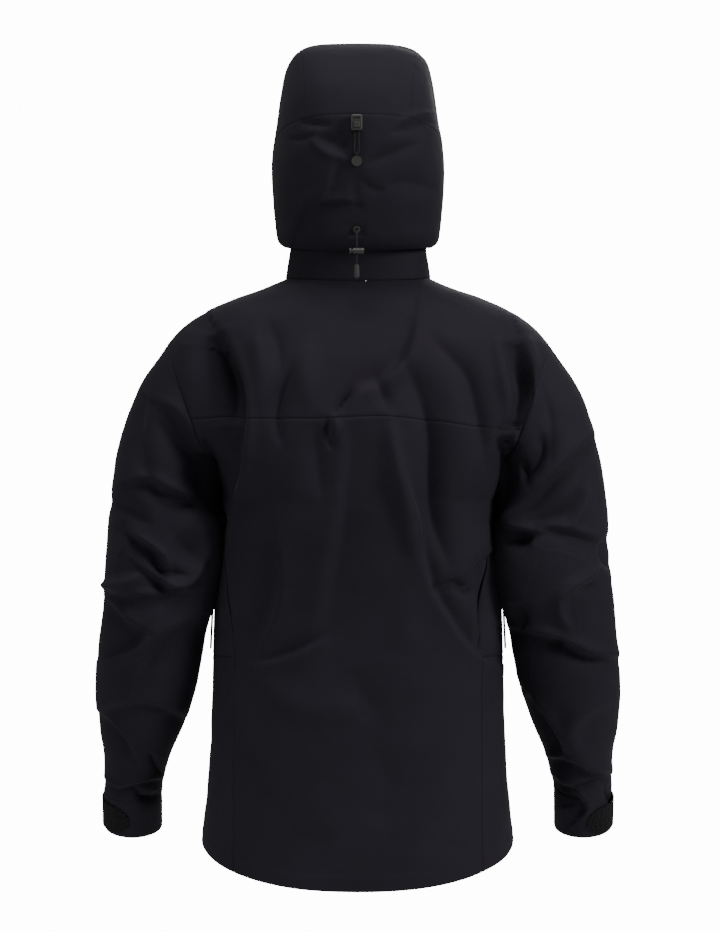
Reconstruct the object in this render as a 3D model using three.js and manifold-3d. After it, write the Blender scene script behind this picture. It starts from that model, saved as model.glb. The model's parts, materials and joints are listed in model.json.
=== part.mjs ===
// A man's hooded hardshell jacket, size medium, filled out as worn with the hood up and every zip closed.
// Millimetres. +Z is up, -Y is the jacket's front and +X is the wearer's left. The origin is the underside
// of the hanger loop at the inside back neck, where a hook carries the jacket.
//
// Every cloth panel is a thin closed shell, cut along the jacket's own seams. A sleeve turns at the armhole
// and at the elbow seam, the hood tips back about the neck, and the zips, cord locks and cuff tabs all work.

import * as THREE from "three";
import { RoundedBoxGeometry } from "three/addons/geometries/RoundedBoxGeometry.js";
import { mergeVertices } from "three/addons/utils/BufferGeometryUtils.js";
import Module from "manifold-3d";

const wasm = await Module();
wasm.setup();

// ---------------------------------------------------------------- driving sizes

const CLOTH = 2; // wall of a cloth panel with its seam tape
const SEAM = 0.9; // distance kept from a seam line by the panel on each side
const LOOP_Y = 70; // how far the hanger loop lies behind the working frame used below

const BODY_Y = 5; // where the body is widest, front to back
const BOXINESS = 2.3; // exponent of the body's rounded cross-section

const HEM_BACK = -765; // lowest point of the dropped back hem
const HEM_SIDE = -716;
const HEM_FRONT = -722;
const YOKE_SEAM = -178; // seam between the back panel and the yoke
const GUSSET_SEAM = -480; // top of the side panels, bottom of the underarm gussets
const GUSSET_TOP = -263; // where a gusset's two long seams reach the armhole
const BACK_SEAM_X = 154; // side panel seam, on the back
const FRONT_SEAM_X = 165; // side panel seam, on the front
const NECK_HALF = 92; // half the neck seam's width
const NECK_DROP = 70; // how far the neck seam falls from the shoulder to the front zip

const ARMHOLE = { topX: 242, topZ: -88, bottomX: 172, bottomZ: -285, halfDepth: 80 };

const ZIP_BOTTOM = { y: -158, z: -716 };
const ZIP_TOP = { y: -104, z: 58 };
const PANEL_EDGE_X = 10; // where the cloth meets the front zip's tape

// ---------------------------------------------------------------- small helpers

const lerp = THREE.MathUtils.lerp;
const clamp = THREE.MathUtils.clamp;
const rad = THREE.MathUtils.degToRad;

// A smooth function through [position, value] pairs listed in rising position.
function profile(pairs) {
  const slope = pairs.map((p, i) => {
    const a = pairs[Math.max(i - 1, 0)];
    const b = pairs[Math.min(i + 1, pairs.length - 1)];
    return (b[1] - a[1]) / (b[0] - a[0]);
  });
  return (at) => {
    const x = clamp(at, pairs[0][0], pairs[pairs.length - 1][0]);
    let i = 0;
    while (i < pairs.length - 2 && x > pairs[i + 1][0]) i++;
    const h = pairs[i + 1][0] - pairs[i][0];
    const t = (x - pairs[i][0]) / h;
    return (
      (1 + 2 * t) * (1 - t) ** 2 * pairs[i][1] +
      t * (1 - t) ** 2 * h * slope[i] +
      t * t * (3 - 2 * t) * pairs[i + 1][1] +
      t * t * (t - 1) * h * slope[i + 1]
    );
  };
}

// A closed shell under the surface point(u, v, target), whose outer side is d/du x d/dv. A ring closes on
// itself in u, and lift moves the whole shell out along the surface's normal.
function shell(point, across, along, { thick = CLOTH, ring = false, lift = 0 } = {}) {
  const STEP = 0.004;
  const wrap = (u) => (ring ? (u + 1) % 1 : clamp(u, 0, 1));
  const columns = ring ? across : across + 1;
  const position = [];
  const [a, b, du, dv, n, at] = [0, 1, 2, 3, 4, 5].map(() => new THREE.Vector3());
  for (const depth of [0, thick]) {
    for (let j = 0; j <= along; j++) {
      for (let i = 0; i < columns; i++) {
        const [u, v] = [i / across, j / along];
        point(wrap(u + STEP), v, a);
        point(wrap(u - STEP), v, b);
        du.subVectors(a, b);
        point(u, Math.min(v + STEP, 1), a);
        point(u, Math.max(v - STEP, 0), b);
        dv.subVectors(a, b);
        n.crossVectors(du, dv).normalize();
        point(u, v, at);
        at.addScaledVector(n, lift - depth);
        position.push(at.x, at.y, at.z);
      }
    }
  }
  const outer = (i, j) => j * columns + (i % columns);
  const inner = (i, j) => outer(i, j) + columns * (along + 1);
  const index = [];
  const quad = (p, q, r, s) => index.push(p, q, r, p, r, s);
  for (let i = 0; i < across; i++) {
    for (let j = 0; j < along; j++) {
      quad(outer(i, j), outer(i + 1, j), outer(i + 1, j + 1), outer(i, j + 1));
      quad(inner(i + 1, j), inner(i, j), inner(i, j + 1), inner(i + 1, j + 1));
    }
    quad(inner(i, 0), inner(i + 1, 0), outer(i + 1, 0), outer(i, 0));
    quad(inner(i + 1, along), inner(i, along), outer(i, along), outer(i + 1, along));
  }
  for (let j = 0; j < along && !ring; j++) {
    quad(inner(0, j + 1), inner(0, j), outer(0, j), outer(0, j + 1));
    quad(inner(across, j), inner(across, j + 1), outer(across, j + 1), outer(across, j));
  }
  const g = new THREE.BufferGeometry();
  g.setAttribute("position", new THREE.Float32BufferAttribute(position, 3));
  g.setIndex(index);
  return g;
}

// The same surface on the wearer's other side.
const mirrored = (point) => (u, v, out) => {
  point(1 - u, v, out);
  out.x = -out.x;
};

function solidOf(geometry) {
  const g = geometry.clone();
  g.deleteAttribute("normal");
  g.deleteAttribute("uv");
  const m = mergeVertices(g, 1e-3);
  return new wasm.Manifold(
    new wasm.Mesh({
      numProp: 3,
      vertProperties: m.attributes.position.array,
      triVerts: new Uint32Array(m.index.array),
    }),
  );
}

function geometryOf(solid) {
  const m = solid.getMesh();
  const g = new THREE.BufferGeometry();
  g.setAttribute("position", new THREE.BufferAttribute(m.vertProperties, 3));
  g.setIndex(new THREE.BufferAttribute(m.triVerts, 1));
  return g;
}

const joined = (...parts) => geometryOf(parts.map(solidOf).reduce((a, b) => a.add(b)));
const cut = (body, ...tools) =>
  geometryOf(tools.map(solidOf).reduce((a, b) => a.subtract(b), solidOf(body)));

const box = (w, d, h, x = 0, y = 0, z = 0) => new THREE.BoxGeometry(w, d, h).translate(x, y, z);

// Cylinders along each axis, centred on a point.
const discY = (r, length, x, y, z) => new THREE.CylinderGeometry(r, r, length, 20).translate(x, y, z);
const rodZ = (r, length, x, y, z) =>
  new THREE.CylinderGeometry(r, r, length, 12).rotateX(Math.PI / 2).translate(x, y, z);
const rodX = (r, length, x, y, z) =>
  new THREE.CylinderGeometry(r, r, length, 16).rotateZ(Math.PI / 2).translate(x, y, z);

function roundedRect(w, h, r, x = 0, z = 0) {
  const s = new THREE.Shape();
  s.moveTo(x - w / 2 + r, z - h / 2);
  s.lineTo(x + w / 2 - r, z - h / 2);
  s.absarc(x + w / 2 - r, z - h / 2 + r, r, -Math.PI / 2, 0);
  s.lineTo(x + w / 2, z + h / 2 - r);
  s.absarc(x + w / 2 - r, z + h / 2 - r, r, 0, Math.PI / 2);
  s.lineTo(x - w / 2 + r, z + h / 2);
  s.absarc(x - w / 2 + r, z + h / 2 - r, r, Math.PI / 2, Math.PI);
  s.lineTo(x - w / 2, z - h / 2 + r);
  s.absarc(x - w / 2 + r, z - h / 2 + r, r, Math.PI, 1.5 * Math.PI);
  return s;
}

// A cord of round section along a smooth curve.
function cordAlong(points, diameter, steps, sides) {
  const section = new THREE.Shape();
  for (let i = 0; i < sides; i++) {
    const a = (i / sides) * 2 * Math.PI;
    if (i) section.lineTo((diameter / 2) * Math.cos(a), (diameter / 2) * Math.sin(a));
    else section.moveTo(diameter / 2, 0);
  }
  const path = new THREE.CatmullRomCurve3(points);
  return new THREE.ExtrudeGeometry(section, { steps, extrudePath: path, bevelEnabled: false });
}

// ---------------------------------------------------------------- materials

const cloth = new THREE.MeshStandardMaterial({ color: 0x212024, roughness: 0.62, metalness: 0 });
const tape = new THREE.MeshStandardMaterial({ color: 0x161618, roughness: 0.45, metalness: 0 });
const trim = new THREE.MeshStandardMaterial({ color: 0x323231, roughness: 0.42, metalness: 0 });
const cordage = new THREE.MeshStandardMaterial({ color: 0x1b1b19, roughness: 0.8, metalness: 0 });
const metal = new THREE.MeshStandardMaterial({ color: 0x3a3a3c, roughness: 0.35, metalness: 0.8 });
const fleece = new THREE.MeshStandardMaterial({ color: 0x151417, roughness: 0.95, metalness: 0 });

const jacket = new THREE.Group();

function add(name, geometry, material) {
  const mesh = new THREE.Mesh(geometry.translate(0, -LOOP_Y, 0), material);
  mesh.name = name;
  jacket.add(mesh);
}

// The same panel on both sides, from its surface on the wearer's left.
function addPair(name, point, across, along, material, options) {
  add("left_" + name, shell(point, across, along, options), material);
  add("right_" + name, shell(mirrored(point), across, along, options), material);
}

// ---------------------------------------------------------------- the body's outer surface

// Where the back lies at each height, from the hem up to the neck.
const backY = profile([
  [-765, 138], [-600, 131], [-450, 130], [-320, 141], [-200, 149], [-120, 136], [-60, 110], [-11, 80],
]);
// The closed zip holds the front in a straight line, and above the neck seam the shoulders fall back.
const zipY = (z) => lerp(ZIP_BOTTOM.y, ZIP_TOP.y, (z - ZIP_BOTTOM.z) / (ZIP_TOP.z - ZIP_BOTTOM.z));
const SHOULDER_START = -75;
const shoulderFall = profile([[-75, 0], [-50, 14], [-30, 30], [-5, 52]]);
const backDepth = (z) => backY(z) - BODY_Y;
const frontDepth = (z) => BODY_Y - zipY(Math.min(z, SHOULDER_START)) - shoulderFall(z);
const depthAt = (z, side) => (side > 0 ? backDepth(z) : frontDepth(z));
// Half the body's width below the armpits, and the shoulder line from the neck out to the armhole.
const sideX = profile([
  [-765, 198], [-720, 198], [-640, 190], [-560, 186], [-480, 184], [-411, 182], [-350, 177], [-285, 172],
]);
const SHOULDER = [[92, -5], [124, -18], [158, -30], [201, -50], [226, -69], [242, -88]];
const shoulderZ = profile(SHOULDER);
const shoulderX = profile(SHOULDER.map(([x, z]) => [z, x]).reverse());

const armholeX = (z) =>
  lerp(ARMHOLE.topX, ARMHOLE.bottomX, (ARMHOLE.topZ - z) / (ARMHOLE.topZ - ARMHOLE.bottomZ));
const ARMHOLE_Z = (ARMHOLE.topZ + ARMHOLE.bottomZ) / 2;
const ARMHOLE_HALF = (ARMHOLE.topZ - ARMHOLE.bottomZ) / 2;

// Half the width of the section at z. Beside the armhole the section is widened, so that it passes through
// the armhole's edge.
function halfWidth(z, side) {
  if (z >= ARMHOLE.topZ) return shoulderX(z);
  if (z <= ARMHOLE.bottomZ) return sideX(z);
  const edge = ARMHOLE.halfDepth * Math.sqrt(Math.max(0, 1 - ((z - ARMHOLE_Z) / ARMHOLE_HALF) ** 2));
  return armholeX(z) / (1 - (edge / depthAt(z, side)) ** BOXINESS) ** (1 / BOXINESS);
}

// side is 1 for the back and -1 for the front.
function bodyY(x, z, side) {
  const share = Math.min(1, Math.abs(x) / halfWidth(z, side));
  return BODY_Y + side * depthAt(z, side) * (1 - share ** BOXINESS) ** (1 / BOXINESS);
}

// The surface by angle round the body: 0 at the middle of the back, PI / 2 at the side, PI at the zip.
function bodyAt(angle, z, out) {
  const side = angle < Math.PI / 2 ? 1 : -1;
  const round = (v) => Math.sign(v) * Math.abs(v) ** (2 / BOXINESS);
  out.x = halfWidth(z, side) * round(Math.sin(angle));
  out.y = BODY_Y + depthAt(z, side) * round(Math.cos(angle));
  out.z = z;
}

function angleOf(x, z, side) {
  const angle = Math.asin(clamp(Math.abs(x) / halfWidth(z, side), 0, 1) ** (BOXINESS / 2));
  return side > 0 ? angle : Math.PI - angle;
}

const hemAt = (angle) =>
  angle < Math.PI / 2
    ? lerp(HEM_SIDE, HEM_BACK, Math.cos(angle) ** 1.2)
    : lerp(HEM_SIDE, HEM_FRONT, -Math.cos(angle));

// Where a back or front panel ends at each height: side seam, gusset seam, then the armhole.
function panelEdge(z, seamX) {
  if (z >= GUSSET_TOP) return armholeX(z);
  const share = clamp((z - GUSSET_SEAM) / (GUSSET_TOP - GUSSET_SEAM), 0, 1);
  return lerp(seamX, armholeX(GUSSET_TOP), share);
}

// The rows of a lower panel from the hem up to the yoke seam's height.
const ROWS = [-600, GUSSET_SEAM, (GUSSET_SEAM + GUSSET_TOP) / 2, GUSSET_TOP, -220, YOKE_SEAM];

function lowerRow(row, hem) {
  const i = Math.min(Math.floor(row), ROWS.length - 1);
  return lerp(i === 0 ? hem : ROWS[i - 1], ROWS[i], row - i);
}

// Rows above that height draw together towards the shoulder, where the surface turns over.
const upperRow = (share, top) => lerp(YOKE_SEAM, top, 1 - (1 - share) ** 2.2);

const neckBackZ = (x) => -11 + 6 * (x / NECK_HALF) ** 2;
const neckFrontZ = (x) => -5 - NECK_DROP * (1 - (x / NECK_HALF) ** 2) ** 1.3;
const topOf = (x, neckZ) => (x < NECK_HALF ? neckZ(x) : shoulderZ(x));

// ---------------------------------------------------------------- body panels

const RIDGE_GAP = 0.026; // share of the upper rows that keeps the yoke and the fronts apart

function backPanel(u, v, out) {
  const s = 1 - 2 * u;
  const hem = hemAt(angleOf(s * BACK_SEAM_X, HEM_SIDE, 1));
  const z = Math.min(lowerRow(v * ROWS.length, hem), YOKE_SEAM - SEAM);
  const x = s * (panelEdge(z, BACK_SEAM_X) - SEAM);
  out.set(x, bodyY(x, z, 1), z);
}

function backYoke(u, v, out) {
  const s = 1 - 2 * u;
  const share = lerp(0.003, 1 - RIDGE_GAP, v);
  const z = upperRow(share, topOf(Math.abs(s) * (ARMHOLE.topX - SEAM), neckBackZ));
  const x = s * (armholeX(upperRow(share, ARMHOLE.topZ)) - SEAM);
  out.set(x, bodyY(x, z, 1), z);
}

const UPPER_ROWS = 5;
const FRONT_ROWS = ROWS.length + UPPER_ROWS;

function frontPanel(u, v, out) {
  const row = v * FRONT_ROWS;
  const share = clamp((row - ROWS.length) / UPPER_ROWS, 0, 1 - RIDGE_GAP);
  const hem = hemAt(angleOf(lerp(0, FRONT_SEAM_X, u), HEM_SIDE, -1));
  const top = topOf(lerp(PANEL_EDGE_X, ARMHOLE.topX - SEAM, u), neckFrontZ);
  const z = row < ROWS.length ? lowerRow(row, hem) : upperRow(share, top);
  const edgeZ = row < ROWS.length ? z : upperRow(share, ARMHOLE.topZ);
  const x = lerp(PANEL_EDGE_X, panelEdge(edgeZ, FRONT_SEAM_X) - SEAM, u);
  out.set(x, bodyY(x, z, -1), z);
}

// The angle across a side panel or gusset at z, from its front seam (0) to its back seam (1).
function betweenSeams(share, z) {
  const front = angleOf(panelEdge(z, FRONT_SEAM_X) + SEAM, z, -1);
  const back = angleOf(panelEdge(z, BACK_SEAM_X) + SEAM, z, 1);
  return lerp(front, back, share);
}

function sidePanel(u, v, out) {
  const z = lerp(hemAt(betweenSeams(u, HEM_SIDE)), GUSSET_SEAM - SEAM, v);
  bodyAt(betweenSeams(u, z), z, out);
}

// Half the arc of the armhole, each way from its lowest point, that the gusset takes.
const GUSSET_ARC = Math.acos((ARMHOLE_Z - GUSSET_TOP) / ARMHOLE_HALF);

function gusset(u, v, out) {
  const turn = lerp(-GUSSET_ARC, GUSSET_ARC, lerp(0.02, 0.98, u));
  const ringZ = ARMHOLE_Z - ARMHOLE_HALF * Math.cos(turn);
  const z = lerp(GUSSET_SEAM + SEAM, ringZ, v * 0.997);
  bodyAt(lerp(betweenSeams(u, z), angleOf(armholeX(ringZ), ringZ, Math.sign(turn) || 1), v ** 2), z, out);
}

add("back_panel", shell(backPanel, 12, ROWS.length), cloth);
add("back_yoke", shell(backYoke, 20, 6), cloth);
addPair("front_panel", frontPanel, 8, FRONT_ROWS, cloth);
addPair("side_panel", sidePanel, 4, 3, cloth);
addPair("underarm_gusset", gusset, 8, 4, cloth);

// ---------------------------------------------------------------- collar

const COLLAR_TOP_BACK = 30;
const COLLAR_TOP_FRONT = 60;
const COLLAR_HALF = 86;
const COLLAR_BACK_Y = 84;
const NECK_ROUND = 0.9;
const COLLAR_END = Math.PI - Math.asin(((PANEL_EDGE_X + 1) / NECK_HALF) ** (1 / NECK_ROUND));

const roundedBy = (power) => (v) => Math.sign(v) * Math.abs(v) ** power;
const [seam, rim] = [new THREE.Vector3(), new THREE.Vector3()];

// turn is 0 at the middle of the back and PI at the zip. rise is 0 at the neck seam, 1 at the collar's top.
function collarAt(turn, rise, out) {
  const round = roundedBy(NECK_ROUND);
  const x = NECK_HALF * round(Math.sin(turn));
  const atBack = turn < Math.PI / 2;
  const z = atBack ? neckBackZ(x) : neckFrontZ(x);
  seam.set(x, bodyY(x, z, atBack ? 1 : -1), z);
  const depth = atBack ? COLLAR_BACK_Y - BODY_Y : BODY_Y - zipY(COLLAR_TOP_FRONT);
  const frontShare = (1 - Math.cos(turn)) / 2;
  rim.set(
    COLLAR_HALF * round(Math.sin(turn)),
    BODY_Y + depth * round(Math.cos(turn)),
    lerp(COLLAR_TOP_BACK, COLLAR_TOP_FRONT, frontShare ** 2),
  );
  out.lerpVectors(seam, rim, rise);
}

function collar(u, v, out) {
  const turn = lerp(COLLAR_END, -COLLAR_END, u);
  collarAt(Math.abs(turn), lerp(0.03, 1, v), out);
  out.x *= Math.sign(turn);
}

add("collar", shell(collar, 26, 2), cloth);

// ---------------------------------------------------------------- sleeves

// Stations down the wearer's left sleeve: the outer edge's x, z and the inner edge's x, z, then the middle's
// y, the half depth front to back, and the tilt of the ring in degrees, its back edge down.
const SLEEVE = [
  [242, -88, 172, -285, 5, 80, 0],
  [281, -146, 175, -303, 6, 80, 0],
  [304, -214, 179, -318, 8, 79, 0],
  [315, -290, 184, -340, 10, 77, 0],
  [319, -345, 189, -365, 12, 75, 0],
  [322, -390, 194, -390, 13, 73, 0],
  [328, -450, 197, -450, 8, 71, 6],
  [334, -520, 206, -520, -8, 67, 13],
  [331, -572, 222, -570, -22, 60, 16],
  [326, -612, 239, -608, -34, 54, 17],
  [327, -655, 250, -652, -46, 51, 16],
  [327, -703, 253, -705, -60, 49, 14],
];
const ELBOW = 5;
const CUFF = 10;
const WRIST = SLEEVE.length - 1;

const outerEdge = new THREE.CatmullRomCurve3(SLEEVE.map((s) => new THREE.Vector3(s[0], 0, s[1])));
const innerEdge = new THREE.CatmullRomCurve3(SLEEVE.map((s) => new THREE.Vector3(s[2], 0, s[3])));
const ringShape = new THREE.CatmullRomCurve3(SLEEVE.map((s) => new THREE.Vector3(s[4], s[5], s[6])));

const [edgeOut, edgeIn, size] = [0, 1, 2].map(() => new THREE.Vector3());

// A point on the sleeve: turn 0 is the outer edge, PI / 2 the back and PI the edge next to the body.
function sleeveAt(station, turn, out) {
  outerEdge.getPoint(station / WRIST, edgeOut);
  innerEdge.getPoint(station / WRIST, edgeIn);
  ringShape.getPoint(station / WRIST, size);
  const tilt = rad(size.z);
  out.lerpVectors(edgeIn, edgeOut, 0.5 + 0.5 * Math.cos(turn));
  out.y = size.x + size.y * Math.sin(turn) * Math.cos(tilt);
  out.z -= size.y * Math.sin(turn) * Math.sin(tilt);
}

const sleevePart = (from, to) => (u, v, out) => sleeveAt(lerp(from, to, v), -2 * Math.PI * u, out);
const GAP = 0.01; // of a station

addPair("upper_sleeve", sleevePart(0.05, ELBOW - GAP), 20, 7, cloth, { ring: true });
addPair("forearm_sleeve", sleevePart(ELBOW + GAP, CUFF - GAP), 20, 6, cloth, { ring: true });
addPair("cuff", sleevePart(CUFF + GAP, WRIST), 20, 2, cloth, { ring: true });

// A strip that lies round part of the cuff, drawn to a rounded end at turnTo.
const onCuff = (from, to, turnFrom, turnTo) => (u, v, out) => {
  const half = ((to - from) / 2) * Math.sqrt(1 - (clamp(u * 6 - 5, 0, 0.94)) ** 2);
  sleeveAt(lerp((from + to) / 2 - half, (from + to) / 2 + half, v), rad(lerp(turnFrom, turnTo, u)), out);
};
const reversed = (point) => (u, v, out) => point(1 - u, v, out);

const PATCH_LIFT = 2.2;
const TAB_LIFT = 4.8;
addPair("loop_patch", reversed(onCuff(10.2, 10.92, -140, 86)), 24, 1, fleece, { thick: 1.6, lift: PATCH_LIFT });
addPair("cuff_tab", reversed(onCuff(10.26, 10.86, -134, -16)), 16, 1, trim, { thick: 2, lift: TAB_LIFT });

// ---------------------------------------------------------------- hood

// Along the hood from the neck over the crown to the brim: share, then the back or top of the arch (y, z),
// the widest place's middle (y, z), the front's reach (y, z), half the width, the section's exponent, and
// the angle each way at which the arch ends at the face.
const HOOD = [
  [0, 95, 27, 5, 38, -106, 66, 94, 2.4, 150],
  [0.05, 104, 34, 5, 44, -104, 70, 101, 2.4, 146],
  [0.12, 113, 50, 1, 56, -102, 78, 104, 2.4, 138],
  [0.25, 128, 95, -5, 92, -99, 105, 108, 2.5, 130],
  [0.4, 135, 145, -20, 130, -98, 128, 110, 2.7, 122],
  [0.52, 132, 191, -40, 150, -100, 147, 109, 2.8, 116],
  [0.64, 116, 235, -62, 166, -101, 166, 105, 3.2, 105],
  [0.76, 80, 272, -80, 180, -102, 180, 101, 3.8, 94],
  [0.86, 30, 291, -92, 188, -102, 188, 97, 4.5, 90],
  [0.94, -35, 294, -97, 195, -98, 195, 92, 4.5, 90],
  [1, -118, 272, -100, 200, -101, 200, 84, 3.5, 88],
];
const HOOD_SEAM = 0.52; // between the lower back panel and the crown
const BRIM_SEAM = 0.955;
const HOOD_GAP = 0.004;

const lawOf = (column) => profile(HOOD.map((row) => [row[0], row[column]]));
const arch = [lawOf(1), lawOf(2)];
const middle = [lawOf(3), lawOf(4)];
const front = [lawOf(5), lawOf(6)];
const [widthLaw, roundLaw, endLaw] = [7, 8, 9].map(lawOf);
const crownEdge = profile([[0.5, 66], [0.64, 68], [0.76, 71], [0.86, 75], [1, 74]]);

function hoodAt(share, angle, out) {
  const round = roundedBy(2 / roundLaw(share));
  const reach = round(Math.cos(angle));
  const [toY, toZ] = reach > 0 ? arch : front;
  out.x = widthLaw(share) * round(Math.sin(angle));
  out.y = lerp(middle[0](share), toY(share), Math.abs(reach));
  out.z = lerp(middle[1](share), toZ(share), Math.abs(reach));
}

const faceAngle = (share) => rad(endLaw(share));
const crownAngle = (share, gap) =>
  Math.asin(((crownEdge(share) + gap) / widthLaw(share)) ** (roundLaw(share) / 2));

function hoodBack(u, v, out) {
  const share = lerp(0, HOOD_SEAM - HOOD_GAP, v);
  hoodAt(share, lerp(faceAngle(share), -faceAngle(share), u), out);
}
function hoodCrown(u, v, out) {
  const share = lerp(HOOD_SEAM + HOOD_GAP, BRIM_SEAM - HOOD_GAP, v);
  hoodAt(share, lerp(crownAngle(share, -SEAM), -crownAngle(share, -SEAM), u), out);
}
function hoodSide(u, v, out) {
  const share = lerp(HOOD_SEAM + HOOD_GAP, BRIM_SEAM - HOOD_GAP, v);
  hoodAt(share, lerp(faceAngle(share), crownAngle(share, SEAM), u), out);
}
function hoodBrim(u, v, out) {
  const share = lerp(BRIM_SEAM + HOOD_GAP, 1, v);
  hoodAt(share, lerp(faceAngle(share), -faceAngle(share), u), out);
}

add("hood_back", shell(hoodBack, 24, 7), cloth);
add("hood_crown", shell(hoodCrown, 8, 8), cloth);
addPair("hood_side", hoodSide, 7, 8, cloth);
add("hood_brim", shell(hoodBrim, 20, 2), cloth);

// The hood's centre back line, y at z.
const hoodBackY = profile(HOOD.slice(0, 7).map((row) => [row[2], row[1]]));

// ---------------------------------------------------------------- hood adjuster

const TRIM_X = 1.5;
const LOCK_Z = 180;
const LOCK_Y = hoodBackY(150) + 0.8; // the lock's back face
const STRAND_Y = LOCK_Y + 2.7;
const STRAND_X = 2.6;
const DISC_Z = 133;

const lockBody = new RoundedBoxGeometry(14, 9, 19.6, 2, 2).translate(TRIM_X, LOCK_Y + 4.5, LOCK_Z);
add(
  "hood_lock_body",
  cut(
    lockBody,
    rodZ(1.5, 30, TRIM_X - STRAND_X, STRAND_Y, LOCK_Z),
    rodZ(1.5, 30, TRIM_X + STRAND_X, STRAND_Y, LOCK_Z),
    box(9, 8, 8, TRIM_X, LOCK_Y + 9.4, LOCK_Z - 3),
    box(8, 3, 2.4, TRIM_X, LOCK_Y + 9, LOCK_Z + 5.4),
  ),
  trim,
);
add(
  "hood_lock_button",
  new RoundedBoxGeometry(8.2, 3.4, 7.2, 1, 0.7).translate(TRIM_X, LOCK_Y + 9, LOCK_Z - 3),
  trim,
);
add(
  "hood_cord_loop",
  cordAlong(
    [
      [-STRAND_X, 187], [-STRAND_X, 165], [-STRAND_X, 145], [-STRAND_X * 0.75, 142], [0, 141],
      [STRAND_X * 0.75, 142], [STRAND_X, 145], [STRAND_X, 165], [STRAND_X, 187],
    ].map(([x, z]) => new THREE.Vector3(TRIM_X + x, STRAND_Y, z)),
    2.2,
    24,
    6,
  ),
  cordage,
);
add("hood_anchor_disc", discY(6.5, 3, TRIM_X, hoodBackY(DISC_Z) + 2.2, DISC_Z), trim);

// ---------------------------------------------------------------- neck cord

const EYELET_Z = 51;
const EYELET_TILT = Math.atan((hoodBackY(EYELET_Z + 3) - hoodBackY(EYELET_Z - 3)) / 6);
const EYELET_Y = hoodBackY(EYELET_Z);
const CORD_Y = EYELET_Y + 9;
const BARREL_Z = 23.5;
const CORD_TIP_Z = 2;

const eyeletShape = new THREE.Shape();
eyeletShape.absarc(0, 0, 4.5, 0, 2 * Math.PI);
const eyeletHole = new THREE.Path();
eyeletHole.absarc(0, 0, 1.9, 0, 2 * Math.PI, true);
eyeletShape.holes.push(eyeletHole);
add(
  "hood_eyelet",
  new THREE.ExtrudeGeometry(eyeletShape, { depth: 1.6, bevelEnabled: false, curveSegments: 9 })
    .rotateX(-Math.PI / 2 - EYELET_TILT)
    .translate(TRIM_X, EYELET_Y + 0.9, EYELET_Z),
  metal,
);
add(
  "neck_cord",
  cordAlong(
    [
      [1.2, 50.8], [4.6, 49.2], [7.6, 46.3], [9, 41], [9, 32], [9, 20], [9, CORD_TIP_Z],
    ].map(([y, z]) => new THREE.Vector3(TRIM_X, EYELET_Y + y, z)),
    2,
    18,
    6,
  ),
  cordage,
);
add(
  "barrel_lock",
  cut(
    rodX(3.85, 13.4, TRIM_X - 2.3, CORD_Y, BARREL_Z),
    rodZ(1.4, 20, TRIM_X, CORD_Y, BARREL_Z),
    rodX(2.5, 6, TRIM_X + 4.6, CORD_Y, BARREL_Z),
  ),
  trim,
);
add(
  "barrel_plunger",
  joined(rodX(3.7, 2.1, TRIM_X + 7.95, CORD_Y, BARREL_Z), rodX(2.1, 3.6, TRIM_X + 5.7, CORD_Y, BARREL_Z)),
  trim,
);
const tipProfile = [[0, -9.7], [2.4, -9.7], [3.4, -8.6], [3.5, -4], [2.7, 6.6], [1.4, 6.8], [1.4, 1.4], [0, 1.4]];
add(
  "cord_end",
  new THREE.LatheGeometry(tipProfile.map(([r, z]) => new THREE.Vector2(r, z)), 12)
    .rotateX(Math.PI / 2)
    .translate(TRIM_X, CORD_Y, 0),
  trim,
);

// ---------------------------------------------------------------- zips

// A zip lies along local Z with its outer side towards local -Y. The slider's neck runs in the slot.
const TAPE_THICK = 1.2;
const SLOT = 1.8;
const BAIL_R = 2.2;
const BAIL_WIRE = 1.2;
const BAIL_Z = 1.5;
const PULL_Y = -TAPE_THICK / 2 - 3.6;

function sliderGeometry(through) {
  const top = new RoundedBoxGeometry(9, 2, 15, 1, 0.8).translate(0, -TAPE_THICK / 2 - 1.4, 0);
  const neck = box(SLOT - 0.7, 3, 5, 0, -TAPE_THICK / 2, 3);
  const legs = [-1, 1].map((end) => box(BAIL_WIRE, 3.4, BAIL_WIRE, 0, PULL_Y + 0.3, BAIL_Z + end * BAIL_R));
  const arc = new THREE.Shape();
  arc.absarc(0, 0, BAIL_R + BAIL_WIRE / 2, 0, Math.PI);
  arc.absarc(0, 0, BAIL_R - BAIL_WIRE / 2, Math.PI, 0, true);
  const bail = new THREE.ExtrudeGeometry(arc, { depth: BAIL_WIRE, bevelEnabled: false, curveSegments: 6 });
  const turned = new THREE.Matrix4().makeBasis(
    new THREE.Vector3(0, 0, 1),
    new THREE.Vector3(0, -1, 0),
    new THREE.Vector3(1, 0, 0),
  );
  bail.translate(0, 0, -BAIL_WIRE / 2).applyMatrix4(turned).translate(0, PULL_Y - 1.3, BAIL_Z);
  const parts = [top, neck, ...legs, bail];
  if (through) parts.push(box(8, 1.6, 13, 0, TAPE_THICK / 2 + 1.2, 0), box(SLOT - 0.7, 2, 5, 0, 0.8, 3));
  return joined(...parts);
}

function pullGeometry(length) {
  const outline = roundedRect(6, length, 2.4, 0, 2.9 - length / 2);
  const eye = new THREE.Path();
  eye.absarc(0, 0, 1.4, 0, 2 * Math.PI, true);
  outline.holes.push(eye);
  return new THREE.ExtrudeGeometry(outline, { depth: 1.2, bevelEnabled: false, curveSegments: 5 })
    .rotateX(Math.PI / 2)
    .translate(0, PULL_Y + 0.6, BAIL_Z - BAIL_R);
}

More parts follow.
